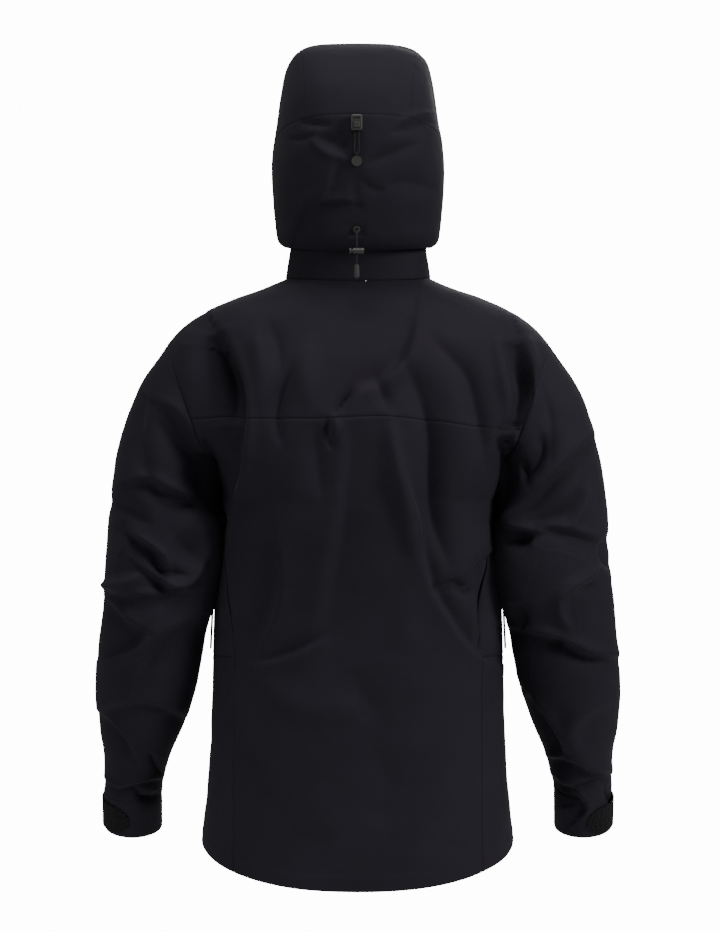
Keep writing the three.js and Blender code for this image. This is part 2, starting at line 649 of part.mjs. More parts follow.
const ZIP_LEAN = Math.atan2(ZIP_TOP.y - ZIP_BOTTOM.y, ZIP_TOP.z - ZIP_BOTTOM.z);
const ZIP_LENGTH = Math.hypot(ZIP_TOP.y - ZIP_BOTTOM.y, ZIP_TOP.z - ZIP_BOTTOM.z);
const onFrontZip = (g, z) => g.translate(0, 0, z).rotateX(-ZIP_LEAN).translate(0, ZIP_BOTTOM.y, ZIP_BOTTOM.z);
const BOX_TOP = 10;
const TAPE_WIDTH = 8.6;

for (const [side, sign] of [["left", 1], ["right", -1]]) {
  const strip = box(TAPE_WIDTH, TAPE_THICK, ZIP_LENGTH - BOX_TOP - 0.4, sign * (SLOT + TAPE_WIDTH) / 2);
  add("front_zip_" + side, onFrontZip(strip, (ZIP_LENGTH + BOX_TOP + 0.4) / 2), tape);
}
add("front_zip_box", onFrontZip(new RoundedBoxGeometry(9, 3.4, BOX_TOP, 1, 0.7), BOX_TOP / 2), trim);
add("wind_flap", onFrontZip(box(19, 1.2, ZIP_LENGTH - 4, 0, 4.4), ZIP_LENGTH / 2), cloth);
const SLIDER_AT = ZIP_LENGTH - 10;
add("front_slider", onFrontZip(sliderGeometry(true), SLIDER_AT), metal);
add("front_pull", onFrontZip(pullGeometry(26), SLIDER_AT), trim);

// ---------------------------------------------------------------- pockets and pit zips

// Carries a geometry from a zip's local frame to the body at x, z, turned to face out of the surface.
function onBody(g, x, z, span, side) {
  const y = (xx, zz) => bodyY(xx, zz, -1);
  const outward = Math.atan2(y(x + 4, z) - y(x - 4, z), 8);
  const lean = Math.atan2(y(x, z + span / 2) - y(x, z - span / 2), span);
  g.rotateX(-lean).rotateZ(outward).translate(x, y(x, z), z);
  return side > 0 ? g : g.applyMatrix4(new THREE.Matrix4().makeScale(-1, 1, 1));
}

// A mirrored solid is turned inside out, so its triangles are wound back.
function rewound(g) {
  const index = Array.from({ length: g.index ? g.index.count : g.attributes.position.count }, (_, i) =>
    g.index ? g.index.getX(i) : i,
  );
  for (let i = 0; i < index.length; i += 3) [index[i], index[i + 1]] = [index[i + 1], index[i]];
  g.setIndex(index);
  return g;
}

const POCKET = { x: 112, z: -500, length: 170 };
const WELT_THICK = 2.4;

function weltGeometry(width, length) {
  const welt = new RoundedBoxGeometry(width, WELT_THICK, length, 1, 0.6);
  return cut(welt, box(SLOT, 3, length - 14, 0, -WELT_THICK / 2 + 0.4, 0)).translate(0, -WELT_THICK / 2 - 1, 0);
}

// The slider sits on the welt's outer face, whose height stands in for the tape's.
const onWelt = (g, z) => g.translate(0, TAPE_THICK / 2 - WELT_THICK - 1, z);

for (const [side, sign] of [["left", 1], ["right", -1]]) {
  const placed = (g) => {
    const done = onBody(g, POCKET.x, POCKET.z, POCKET.length, sign);
    return sign > 0 ? done : rewound(done);
  };
  const top = POCKET.length / 2 - 16;
  add(side + "_pocket_welt", placed(weltGeometry(16, POCKET.length)), tape);
  add(side + "_pocket_slider", placed(onWelt(sliderGeometry(false), top)), metal);
  add(side + "_pocket_pull", placed(onWelt(pullGeometry(20), top)), trim);
}

function pocketBag(u, v, out) {
  const z = lerp(-640, -420, v);
  const x = lerp(40, 150, u);
  out.set(x, bodyY(x, z, -1), z);
}
addPair("pocket_bag", pocketBag, 6, 3, tape, { thick: 1, lift: -9 });

const PIT = { z: -425, length: 96 };
for (const [side, sign] of [["left", 1], ["right", -1]]) {
  const lean = Math.atan2(sideX(PIT.z + 40) - sideX(PIT.z - 40), 80);
  const placed = (g) =>
    g.rotateX(lean).rotateZ((sign * Math.PI) / 2).translate(sign * sideX(PIT.z), BODY_Y, PIT.z);
  const slider = joined(
    new RoundedBoxGeometry(8, 2, 13, 1, 0.7).translate(0, -TAPE_THICK / 2 - 1.4, 0),
    box(SLOT - 0.7, 3, 5, 0, -TAPE_THICK / 2, 3),
    new RoundedBoxGeometry(5, 1.6, 20, 1, 0.6).translate(0, -TAPE_THICK / 2 - 3, -8),
  );
  add(side + "_pit_zip", placed(weltGeometry(13, PIT.length)), tape);
  add(side + "_pit_slider", placed(onWelt(slider, PIT.length / 2 - 16)), metal);
}

// ---------------------------------------------------------------- hem cord and locks, inside the hem

const HEM_LOCK_TURN = rad(128);
const [hemPoint, hemInward] = [new THREE.Vector3(), new THREE.Vector3()];

// Inside the hem at an angle round the body, set in by depth and up by rise.
function insideHem(turn, depth, rise) {
  const z = hemAt(Math.abs(turn)) + rise;
  bodyAt(Math.abs(turn), z, hemPoint);
  hemPoint.x *= Math.sign(turn) || 1;
  hemInward.set(-hemPoint.x, BODY_Y - hemPoint.y, 0).normalize();
  return hemPoint.clone().addScaledVector(hemInward, depth);
}

const HEM_CORD_TURNS = 13;
const hemPath = [];
for (let i = 0; i <= HEM_CORD_TURNS; i++) {
  hemPath.push(insideHem(lerp(-HEM_LOCK_TURN, HEM_LOCK_TURN, i / HEM_CORD_TURNS), 9, 12));
}
add("hem_drawcord", cordAlong(hemPath, 3, 52, 6), cordage);

for (const [side, sign] of [["left", 1], ["right", -1]]) {
  const at = insideHem(sign * (HEM_LOCK_TURN + rad(6)), 13, 14);
  add(side + "_hem_lock", new RoundedBoxGeometry(13, 9, 18, 2, 2).translate(at.x, at.y, at.z), trim);
}

// ---------------------------------------------------------------- hanger loop

const LOOP = { width: 60, strap: 8, thick: 1.6, drop: 14 };
add(
  "hanger_loop",
  cut(
    box(LOOP.width, LOOP.strap, LOOP.drop + 2 * LOOP.thick, 0, LOOP_Y, -LOOP.drop / 2),
    box(LOOP.width - 2 * LOOP.thick, LOOP.strap + 2, LOOP.drop, 0, LOOP_Y, -LOOP.drop / 2),
  ),
  tape,
);

export default jacket;
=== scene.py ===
# A man's hooded hardshell jacket in black laminated nylon, filled out as worn, with the hood up.
# Shapes are worked out in the tailor's frame: millimetres, with x to the wearer's left, y to the back and z up. Its
# y is LOOP_Y more than the shared frame's. Lights, camera and finished pieces are in metres, in the shared frame.
import json
import math

import bpy
import numpy as np
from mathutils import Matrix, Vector


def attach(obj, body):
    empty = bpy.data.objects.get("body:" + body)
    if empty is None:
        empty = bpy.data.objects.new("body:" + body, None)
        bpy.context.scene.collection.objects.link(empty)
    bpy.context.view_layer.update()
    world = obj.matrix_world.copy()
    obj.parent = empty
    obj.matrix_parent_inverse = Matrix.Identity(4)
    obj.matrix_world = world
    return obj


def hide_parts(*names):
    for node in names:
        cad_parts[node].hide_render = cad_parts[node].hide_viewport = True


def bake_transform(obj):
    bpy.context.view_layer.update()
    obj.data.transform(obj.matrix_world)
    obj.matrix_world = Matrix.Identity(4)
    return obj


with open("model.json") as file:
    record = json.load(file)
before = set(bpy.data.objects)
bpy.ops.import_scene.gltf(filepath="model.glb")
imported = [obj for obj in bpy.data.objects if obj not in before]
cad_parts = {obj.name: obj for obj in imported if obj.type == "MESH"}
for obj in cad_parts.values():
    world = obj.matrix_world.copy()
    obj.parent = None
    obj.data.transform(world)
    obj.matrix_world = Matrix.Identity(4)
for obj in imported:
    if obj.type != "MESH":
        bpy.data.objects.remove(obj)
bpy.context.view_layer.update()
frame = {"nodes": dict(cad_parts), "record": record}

# ---------------------------------------------------------------- the studio
# A pale floor under white soft light, and a long lens straight behind the jacket at chest height. The backdrop that
# the camera sees is brighter than the light that the surroundings give.

SENSOR_HEIGHT, LENS = 36, 121.7
CAMERA_PLACE = (-0.0025, 3.935, -0.2415)
FLOOR_SIZE, FLOOR_Z = 3.4, -1.25
SKY_LIGHT, BACKDROP_LIGHT = 0.14, 18

camera = bpy.data.objects.new("camera", bpy.data.cameras.new("camera"))
bpy.context.collection.objects.link(camera)
camera.data.sensor_fit = "VERTICAL"
camera.data.sensor_height = SENSOR_HEIGHT
camera.data.lens = LENS
camera.location = CAMERA_PLACE
camera.rotation_euler = (math.radians(90), 0, math.radians(180))
bpy.context.scene.camera = camera

bpy.ops.mesh.primitive_plane_add(size=FLOOR_SIZE, location=(0, 0, FLOOR_Z))
floor = bpy.context.object
floor.name = "floor"
floor_paint = bpy.data.materials.new("floor_paint")
floor_paint.use_nodes = True
floor_shader = floor_paint.node_tree.nodes["Principled BSDF"]
floor_shader.inputs["Base Color"].default_value = (0.86, 0.86, 0.86, 1)
floor_shader.inputs["Roughness"].default_value = 0.8
floor.data.materials.append(floor_paint)

world = bpy.data.worlds.new("studio_white")
bpy.context.scene.world = world
world.use_nodes = True
sky = world.node_tree
surroundings = sky.nodes["Background"]
surroundings.inputs["Color"].default_value = (1, 1, 1, 1)
surroundings.inputs["Strength"].default_value = SKY_LIGHT
backdrop = sky.nodes.new("ShaderNodeBackground")
backdrop.inputs["Strength"].default_value = BACKDROP_LIGHT
rays = sky.nodes.new("ShaderNodeLightPath")
either = sky.nodes.new("ShaderNodeMixShader")
sky.links.new(rays.outputs["Is Camera Ray"], either.inputs["Fac"])
sky.links.new(surroundings.outputs[0], either.inputs[1])
sky.links.new(backdrop.outputs[0], either.inputs[2])
sky.links.new(either.outputs[0], sky.nodes["World Output"].inputs["Surface"])


def softbox(name, place, aim, size, power):
    """A rectangular light at place, turned towards aim, with its power in watts."""
    lamp = bpy.data.lights.new(name, "AREA")
    lamp.shape = "RECTANGLE"
    lamp.size, lamp.size_y = size
    lamp.energy = power
    box = bpy.data.objects.new(name, lamp)
    box.location = place
    box.rotation_euler = (Vector(aim) - Vector(place)).to_track_quat("-Z", "Y").to_euler()
    bpy.context.collection.objects.link(box)


softbox("key_softbox", (-2.5, 1.5, 1.1), (0, 0, -0.25), (0.8, 1.1), 44)
softbox("top_softbox", (0.2, 0.6, 2.4), (0, 0, -0.2), (1.2, 1.0), 28)
softbox("left_softbox", (2.4, 1.3, 0.2), (0, 0, -0.3), (0.9, 1.6), 10)
softbox("front_softbox", (-0.6, -2.6, 1.3), (0, 0, -0.2), (1.6, 1.6), 26)

# ---------------------------------------------------------------- neck cord
# A thin braided cord from an eyelet at the hood's nape. It hangs under its own weight through a barrel lock
# and ends in a moulded tip.

LOOP_Y = 70
TRIM_X = 1.5
EYELET_Y = 113.39
CORD_RADIUS = 0.001


def metres(points):
    """Points of the tailor's frame in the shared frame."""
    return (np.asarray(points, float) - (0, LOOP_Y, 0)) / 1000


def finish_of(name, colour, roughness, metallic=0.0):
    """A new material and its Principled BSDF."""
    material = bpy.data.materials.new(name)
    material.use_nodes = True
    shader = material.node_tree.nodes["Principled BSDF"]
    shader.inputs["Base Color"].default_value = (*colour, 1)
    shader.inputs["Roughness"].default_value = roughness
    shader.inputs["Metallic"].default_value = metallic
    return material, shader


def add_node(tree, kind, **inputs):
    """A new shader node with the named inputs set."""
    node = tree.nodes.new("ShaderNode" + kind)
    for key, value in inputs.items():
        node.inputs[key].default_value = value
    return node


def wire(material, source, socket, target):
    material.node_tree.links.new(source.outputs[socket], target)


def braid_group():
    """Fine slanting strands that catch the light, as a bump."""
    g = bpy.data.node_groups.new("braid", "ShaderNodeTree")
    g.interface.new_socket("Pitch", in_out="INPUT", socket_type="NodeSocketFloat")
    g.interface.new_socket("Normal", in_out="OUTPUT", socket_type="NodeSocketVector")
    into, out = g.nodes.new("NodeGroupInput"), g.nodes.new("NodeGroupOutput")
    place = add_node(g, "TexCoord")
    waves = add_node(g, "TexWave", Distortion=1.5)
    waves.bands_direction = "DIAGONAL"
    bump = add_node(g, "Bump", Strength=0.6, Distance=0.0004)
    g.links.new(place.outputs["Object"], waves.inputs["Vector"])
    g.links.new(into.outputs["Pitch"], waves.inputs["Scale"])
    g.links.new(waves.outputs["Fac"], bump.inputs["Height"])
    g.links.new(bump.outputs["Normal"], out.inputs["Normal"])
    return g


cord_braid, shader = finish_of("cord_braid", (0.02, 0.02, 0.019), 0.75)
strands = add_node(cord_braid.node_tree, "Group")
strands.node_tree = braid_group()
strands.inputs["Pitch"].default_value = 260
wire(cord_braid, strands, "Normal", shader.inputs["Normal"])

# The cord's route: how far behind the eyelet's face, and how high.
cord_route = [(1.2, 50.8), (4.6, 49.2), (7.6, 46.3), (9, 41), (9, 32), (9, 20), (9, 2)]
curve = bpy.data.curves.new("neck_cord_line", "CURVE")
curve.dimensions = "3D"
curve.bevel_depth = CORD_RADIUS
curve.bevel_resolution = 3
curve.resolution_u = 6
spline = curve.splines.new("BEZIER")
spline.bezier_points.add(len(cord_route) - 1)
for knot, (y, z) in zip(spline.bezier_points, cord_route):
    knot.co = metres((TRIM_X, EYELET_Y + y, z))
    knot.handle_left_type = knot.handle_right_type = "AUTO"
neck_cord = bpy.data.objects.new("neck_cord_line", curve)
bpy.context.collection.objects.link(neck_cord)
curve.materials.append(cord_braid)
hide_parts("neck_cord")
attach(neck_cord, "neck_cord")

# ---------------------------------------------------------------- the cloth
# Three-layer nylon laminate: a tight plain weave with a faint dry sheen, pressed flat, that folds softly and
# is dulled a little where it has been handled: its roughness wanders by WEAR from place to place.

WEAR = 0.16


def weave_group():
    """The cloth's face: thread bump over small dents, and a slow change of sheen."""
    g = bpy.data.node_groups.new("woven_face", "ShaderNodeTree")
    for name, kind in (("Threads", "Float"), ("Depth", "Float"), ("Roughness", "Float"), ("Colour", "Color")):
        g.interface.new_socket(name, in_out="INPUT", socket_type="NodeSocket" + kind)
    for name, kind in (("Colour", "Color"), ("Roughness", "Float"), ("Normal", "Vector")):
        g.interface.new_socket(name, in_out="OUTPUT", socket_type="NodeSocket" + kind)
    into, out = g.nodes.new("NodeGroupInput"), g.nodes.new("NodeGroupOutput")
    place = add_node(g, "TexCoord")
    link = g.links.new
    warp = add_node(g, "TexWave", Distortion=0.6, Detail=1)
    warp.bands_direction = "X"
    weft = add_node(g, "TexWave", Distortion=0.6, Detail=1)
    weft.bands_direction = "Z"
    for threads in (warp, weft):
        link(place.outputs["Object"], threads.inputs["Vector"])
        link(into.outputs["Threads"], threads.inputs["Scale"])
    cross = add_node(g, "Math")
    cross.operation = "MULTIPLY"
    link(warp.outputs["Fac"], cross.inputs[0])
    link(weft.outputs["Fac"], cross.inputs[1])
    dents = add_node(g, "TexNoise", Scale=70.0, Detail=3.0, Roughness=0.55)
    link(place.outputs["Object"], dents.inputs["Vector"])
    threads_bump = add_node(g, "Bump", Strength=0.35, Distance=0.00012)
    link(cross.outputs[0], threads_bump.inputs["Height"])
    dent_bump = add_node(g, "Bump", Distance=0.0012)
    link(into.outputs["Depth"], dent_bump.inputs["Strength"])
    link(dents.outputs["Fac"], dent_bump.inputs["Height"])
    link(threads_bump.outputs["Normal"], dent_bump.inputs["Normal"])
    link(dent_bump.outputs["Normal"], out.inputs["Normal"])
    wear = add_node(g, "TexNoise", Scale=9.0, Detail=4.0, Roughness=0.6)
    link(place.outputs["Object"], wear.inputs["Vector"])
    sheen = add_node(g, "Math")
    sheen.operation = "MULTIPLY_ADD"
    link(wear.outputs["Fac"], sheen.inputs[0])
    sheen.inputs[1].default_value = WEAR
    link(into.outputs["Roughness"], sheen.inputs[2])
    link(sheen.outputs[0], out.inputs["Roughness"])
    tone = add_node(g, "Mix")
    tone.data_type = "RGBA"
    tone.blend_type = "MULTIPLY"
    shades = add_node(g, "ValToRGB")
    shades.color_ramp.elements[0].position = 0.35
    shades.color_ramp.elements[0].color = (0.86, 0.86, 0.88, 1)
    shades.color_ramp.elements[1].position = 0.7
    shades.color_ramp.elements[1].color = (1.1, 1.08, 1.08, 1)
    link(wear.outputs["Fac"], shades.inputs["Fac"])
    tone.inputs["Factor"].default_value = 1
    link(into.outputs["Colour"], tone.inputs["A"])
    link(shades.outputs["Color"], tone.inputs["B"])
    link(tone.outputs["Result"], out.inputs["Colour"])
    return g


woven_face = weave_group()


def cloth_finish(name, colour, roughness, threads=900, depth=0.05):
    """A cloth with the woven face. depth is how strongly its small dents show."""
    material, bsdf = finish_of(name, colour, roughness)
    face = add_node(material.node_tree, "Group")
    face.node_tree = woven_face
    face.inputs["Threads"].default_value = threads
    face.inputs["Depth"].default_value = depth
    face.inputs["Roughness"].default_value = roughness - WEAR / 2
    face.inputs["Colour"].default_value = (*colour, 1)
    wire(material, face, "Colour", bsdf.inputs["Base Color"])
    wire(material, face, "Roughness", bsdf.inputs["Roughness"])
    wire(material, face, "Normal", bsdf.inputs["Normal"])
    bsdf.inputs["Specular IOR Level"].default_value = 0.16
    bsdf.inputs["Sheen Weight"].default_value = 0.04
    bsdf.inputs["Sheen Roughness"].default_value = 0.4
    return material


shell_cloth = cloth_finish("shell_cloth", (0.0262, 0.0232, 0.033), 0.76)


def law(pairs):
    """A smooth function through (position, value) pairs listed in rising position."""
    at, to = (np.array(v, float) for v in zip(*pairs))
    each = np.arange(len(at))
    before, after = np.maximum(each - 1, 0), np.minimum(each + 1, len(at) - 1)
    slope = (to[after] - to[before]) / (at[after] - at[before])

    def value(x):
        x = np.clip(x, at[0], at[-1])
        i = np.clip(np.searchsorted(at, x, side="right") - 1, 0, len(at) - 2)
        h = at[i + 1] - at[i]
        t = (x - at[i]) / h
        left = (1 + 2 * t) * (1 - t) ** 2 * to[i] + t * (1 - t) ** 2 * h * slope[i]
        return left + t * t * (3 - 2 * t) * to[i + 1] + t * t * (t - 1) * h * slope[i + 1]

    return value


def mix(a, b, t):
    return a + (b - a) * t


def rise(x, low, high):
    """A smooth step from 0 at low to 1 at high."""
    t = np.clip((x - low) / (high - low), 0, 1)
    return t * t * (3 - 2 * t)


# Soft waves on the side that shows from behind: depth in mm (a valley is negative), width, and the line's x, z.
BACK_WAVES = [
    # hood
    (-6, 5, (72, 183), (52, 180), (32, 177)),
    (-4, 4, (88, 164), (68, 161), (52, 167)),
    (-6, 12, (50, 166), (36, 158), (16, 150), (0, 144)),
    (4, 6, (60, 162), (44, 146), (26, 138), (10, 134)),
    (-5, 4, (3, 122), (4, 100), (2, 85), (-2, 68)),
    (-6, 7, (-6, 129), (-25, 138), (-45, 146), (-76, 158)),
    (-5, 5, (-2, 113), (-16, 99), (-34, 98)),
    (-5, 10, (-34, 104), (-62, 110), (-94, 104)),
    (-5, 5, (-40, 168), (-62, 176), (-80, 185), (-92, 187)),
    (3, 5, (-50, 182), (-70, 192), (-92, 200)),
    (-3, 5, (-40, 291), (-62, 285), (-84, 278)),
    (-5, 5, (-92, 274), (-96, 235), (-102, 200), (-104, 176)),
    (3, 14, (104, 56), (70, 44), (30, 40), (-30, 40), (-70, 44), (-104, 56)),
    # yoke
    (-22, 24, (180, -70), (174, -104), (168, -140), (164, -196)),
    (-10, 13, (-92, -84), (-118, -108), (-138, -130), (-146, -160), (-158, -210), (-170, -268)),
    (-6, 8, (-22, -128), (-28, -150), (-40, -170)),
    (-7, 5, (4, -146), (16, -160), (30, -178)),
    (-5, 4, (38, -182), (38, -198), (31, -222)),
    (4, 6, (26, -182), (27, -206)),
    (-7, 8, (82, -124), (95, -156), (101, -186), (94, -216)),
    (5, 14, (126, -80), (118, -124), (122, -170)),
    (-4, 12, (112, -60), (100, -90), (96, -122)),
    (5, 16, (60, -90), (66, -130), (58, -170)),
    # back panel
    (-15, 20, (-58, -112), (-78, -155), (-90, -200), (-91, -260), (-98, -312), (-114, -362)),
    (10, 15, (-40, -184), (-46, -230), (-58, -290), (-68, -352)),
    (-6, 17, (52, -186), (52, -230), (44, -280)),
    (-10, 7, (-92, -394), (-108, -391), (-122, -385), (-136, -395), (-147, -388), (-154, -372), (-174, -348)),
    (4, 22, (-62, -350), (-64, -420), (-50, -476)),
    (4, 22, (118, -506), (86, -536), (40, -546), (-4, -536)),
    (-4, 24, (6, -490), (-6, -522), (-22, -550)),
    (-3, 30, (-20, -590), (-40, -640), (-30, -690)),
    (-2, 26, (110, -640), (80, -700), (30, -700)),
    (-10, 12, (-158, -350), (-164, -400), (-160, -450)),
    # left sleeve
    (-9, 14, (270, -144), (282, -190), (272, -236), (254, -264)),
    (-8, 15, (254, -182), (240, -202), (214, -226), (196, -246)),
    (-8, 11, (318, -286), (290, -296), (260, -314)),
    (-6, 6, (298, -308), (294, -328), (278, -340)),
    (-8, 7, (256, -354), (250, -374), (232, -375), (212, -378)),
    (8, 8, (324, -392), (292, -390), (270, -378)),
    (-18, 9, (192, -208), (182, -244), (174, -292)),
    (-14, 16, (206, -236), (192, -262), (184, -300)),
    (-10, 20, (226, -330), (204, -350), (186, -368)),
    (-6, 4, (264, -604), (254, -624), (248, -642)),
    (-7, 5, (284, -652), (272, -666), (250, -663)),
    # right sleeve
    (6, 7, (-170, -78), (-178, -130), (-190, -184)),
    (-8, 6, (-174, -202), (-186, -191), (-202, -192)),
    (-20, 11, (-178, -205), (-186, -240), (-184, -286)),
    (-7, 4, (-182, -206), (-194, -222), (-186, -234)),
    (-7, 5, (-192, -232), (-208, -240), (-204, -256), (-216, -268)),
    (-11, 10, (-226, -202), (-233, -222), (-222, -242), (-206, -260)),
    (-4, 8, (-220, -126), (-240, -170), (-243, -210), (-240, -244)),
    (-14, 9, (-176, -336), (-196, -336), (-216, -330)),
    (-8, 12, (-204, -312), (-240, -306), (-270, -296), (-282, -268)),
    (5, 6, (-290, -264), (-282, -294), (-264, -320)),
    (-9, 8, (-322, -326), (-309, -350), (-320, -372)),
    (8, 8, (-302, -362), (-284, -383), (-262, -393), (-250, -408), (-252, -430), (-266, -446)),
    (-5, 5, (-296, -386), (-270, -398)),
    (-10, 7, (-198, -412), (-206, -430), (-204, -448)),
    (-5, 7, (-236, -468), (-258, -464)),
    (5, 12, (-322, -534), (-286, -545), (-268, -566), (-270, -594), (-292, -618), (-322, -630)),
    (-8, 5, (-258, -652), (-284, -651), (-300, -646), (-318, -641)),
    (-6, 5, (-314, -648), (-324, -668), (-336, -686)),
]
# Places where the cloth lies over itself: depth, width of the bulge, width of the hollow, and the edge's line,
# with the hollow to the left of a walk along it as seen with x to the right.
BACK_LAPS = [
    # hood
    (6, 8, 16, (44, 84), (35, 104), (31, 120), (28, 140)),
    (9, 7, 10, (60, 75), (44, 83), (20, 84), (0, 81)),
    (5, 10, 16, (82, 32), (76, 56), (64, 80), (42, 96)),
    # yoke
    (26, 9, 32, (179, -66), (169, -84), (155, -112), (145, -142), (140, -172), (141, -204), (147, -246), (160, -290)),
    (10, 11, 26, (-72, -50), (-65, -90), (-49, -120), (-24, -138), (4, -148), (20, -168), (28, -184)),
    # back panel
    (5, 18, 32, (26, -350), (18, -260), (13, -214), (17, -186)),
    (11, 13, 17, (-178, -491), (-158, -482), (-134, -460), (-116, -432), (-97, -402), (-88, -380), (-81, -345),
     (-81, -308), (-70, -284), (-58, -250), (-48, -206)),
    (8, 6, 10, (-157, -480), (-146, -446), (-152, -412), (-148, -376)),
    (10, 11, 30, (102, -330), (98, -390), (106, -425), (118, -452), (129, -488)),
    (6, 13, 13, (36, -448), (70, -469), (100, -481), (130, -487)),
    (7, 15, 38, (56, -462), (40, -420), (34, -360), (22, -290)),
    # left sleeve
    (13, 8, 24, (252, -162), (226, -175), (208, -204), (197, -224), (184, -252), (174, -288)),
    (13, 9, 20, (288, -264), (262, -257), (240, -271), (212, -281), (196, -290), (178, -302)),
    (13, 6, 13, (290, -327), (268, -336), (252, -347), (241, -360), (238, -382)),
    (16, 10, 14, (270, -368), (246, -386), (232, -396), (214, -395), (198, -378), (182, -346)),
    (10, 6, 16, (320, -397), (288, -405), (250, -404), (214, -405), (192, -398)),
    (9, 7, 20, (320, -408), (298, -428), (284, -440), (264, -447)),
    (8, 10, 14, (264, -448), (272, -464), (288, -474), (308, -482), (328, -488)),
    (12, 10, 28, (273, -498), (266, -476), (246, -456), (224, -444), (200, -430)),
    (8, 14, 20, (328, -552), (296, -541), (262, -540), (238, -548), (216, -564)),
    (8, 8, 12, (326, -556), (304, -574), (292, -588), (282, -608)),
    (9, 5, 10, (328, -640), (306, -652), (290, -648), (264, -641), (244, -642)),
    # right sleeve
    (24, 11, 20, (-202, -78), (-212, -116), (-217, -148), (-208, -178), (-196, -200)),
    (10, 13, 20, (-184, -312), (-214, -284), (-236, -262), (-258, -240), (-280, -218), (-304, -202)),
    (14, 9, 13, (-186, -290), (-184, -318), (-200, -323), (-220, -324)),
    (8, 9, 14, (-226, -317), (-262, -322), (-290, -332), (-312, -339)),
    (15, 9, 15, (-190, -446), (-218, -452), (-242, -457), (-264, -465), (-284, -476), (-300, -481), (-334, -485)),
    (14, 9, 18, (-214, -528), (-236, -562), (-254, -588), (-261, -606)),
    (9, 7, 13, (-236, -614), (-262, -614), (-282, -620), (-296, -630), (-324, -635)),
    (9, 7, 15, (-242, -634), (-264, -652), (-280, -662), (-291, -676), (-278, -692)),
]
# Waves across the front, drawn on the wearer's left and used on both sides.
FRONT_WAVES = [
    (-14, 13, (206, -84), (190, -130), (168, -190), (172, -262), (178, -320)),
    (8, 20, (150, -110), (128, -180), (120, -260)),
    (-9, 18, (92, -90), (84, -160), (60, -240)),
    (7, 24, (44, -120), (40, -220), (34, -320)),
    (-9, 14, (168, -330), (120, -360), (64, -392)),
    (7, 18, (160, -392), (104, -430), (50, -440)),
    (-5, 24, (60, -470), (70, -560), (64, -640)),
    (-12, 11, (306, -322), (270, -330), (236, -352), (192, -340)),
    (10, 14, (312, -352), (262, -366), (200, -376)),
    (-13, 8, (316, -388), (270, -396), (236, -392), (200, -400)),
    (8, 12, (314, -420), (266, -430), (208, -426)),
    (-11, 9, (320, -448), (280, -446), (240, -462), (208, -456)),
    (-9, 12, (326, -520), (290, -532), (236, -520)),
    (-9, 9, (322, -596), (290, -604), (250, -590)),
    (-8, 14, (268, -170), (226, -210), (190, -240)),
    (7, 18, (300, -240), (250, -270), (200, -290)),
]
# Raised, taped seam lines within a piece, and short darts at the elbows.
BACK_SEAMS = [
    ((-208, -330), (-226, -342), (-256, -346), (-276, -353), (-300, -366)),
    ((-230, -343), (-222, -370), (-212, -400), (-208, -416)),
    ((-225, -455), (-221, -478), (-219, -502)),
    ((-272, -400), (-276, -430), (-286, -474)),
    ((-295, -482), (-296, -502)),
    ((290, -340), (296, -352), (300, -372), (290, -374)),
    ((270, -344), (284, -342), (296, -352)),
    ((238, -352), (237, -376), (234, -400)),
    ((202, -280), (204, -316), (197, -352)),
    ((287, -404), (286, -420), (284, -440)),
    ((232, -460), (228, -474), (222, -484)),
]


def along(x, z, line):
    """Distance to a line of points, with its left side positive, and the share of its length at the nearest."""
    line = np.array(line, float)
    spans = np.diff(line, axis=0)
    lengths = np.hypot(*spans.T)
    start = np.concatenate([[0], np.cumsum(lengths)])
    best = np.full(x.shape, 1e9)
    share = np.zeros(x.shape)
    for k, (dx, dz) in enumerate(spans):
        t = np.clip(((x - line[k, 0]) * dx + (z - line[k, 1]) * dz) / lengths[k] ** 2, 0, 1)
        left = dx * (z - line[k, 1]) - dz * (x - line[k, 0])
        d = np.hypot(x - line[k, 0] - t * dx, z - line[k, 1] - t * dz) * np.where(left > 0, 1, -1)
        near = np.abs(d) < np.abs(best)
        best = np.where(near, d, best)
        share = np.where(near, (start[k] + t * lengths[k]) / start[-1], share)
    return best, share


def rounded_line(line):
    """The same line with its corners cut twice, so that a fold bends instead of breaking."""
    line = np.array(line, float)
    for _ in range(2):
        cut = [line[0]]
        for a, b in zip(line[:-1], line[1:]):
            cut += [0.75 * a + 0.25 * b, 0.25 * a + 0.75 * b]
        line = np.array(cut + [line[-1]])
    return line


# How much higher a wave stands than its depth says, how much of a lap's depth its bulge and its hollow take, and the
# share of the hollow's width over which one turns into the other.
WAVE_GAIN, LAP_BULGE, LAP_HOLLOW, LAP_TURN = 1.35, 0.6, 1.15, 0.22
# How near to its tips a stroke is followed, and how bluntly it dies out there.
STROKE_TIP, STROKE_BLUNT = 0.015, 0.55


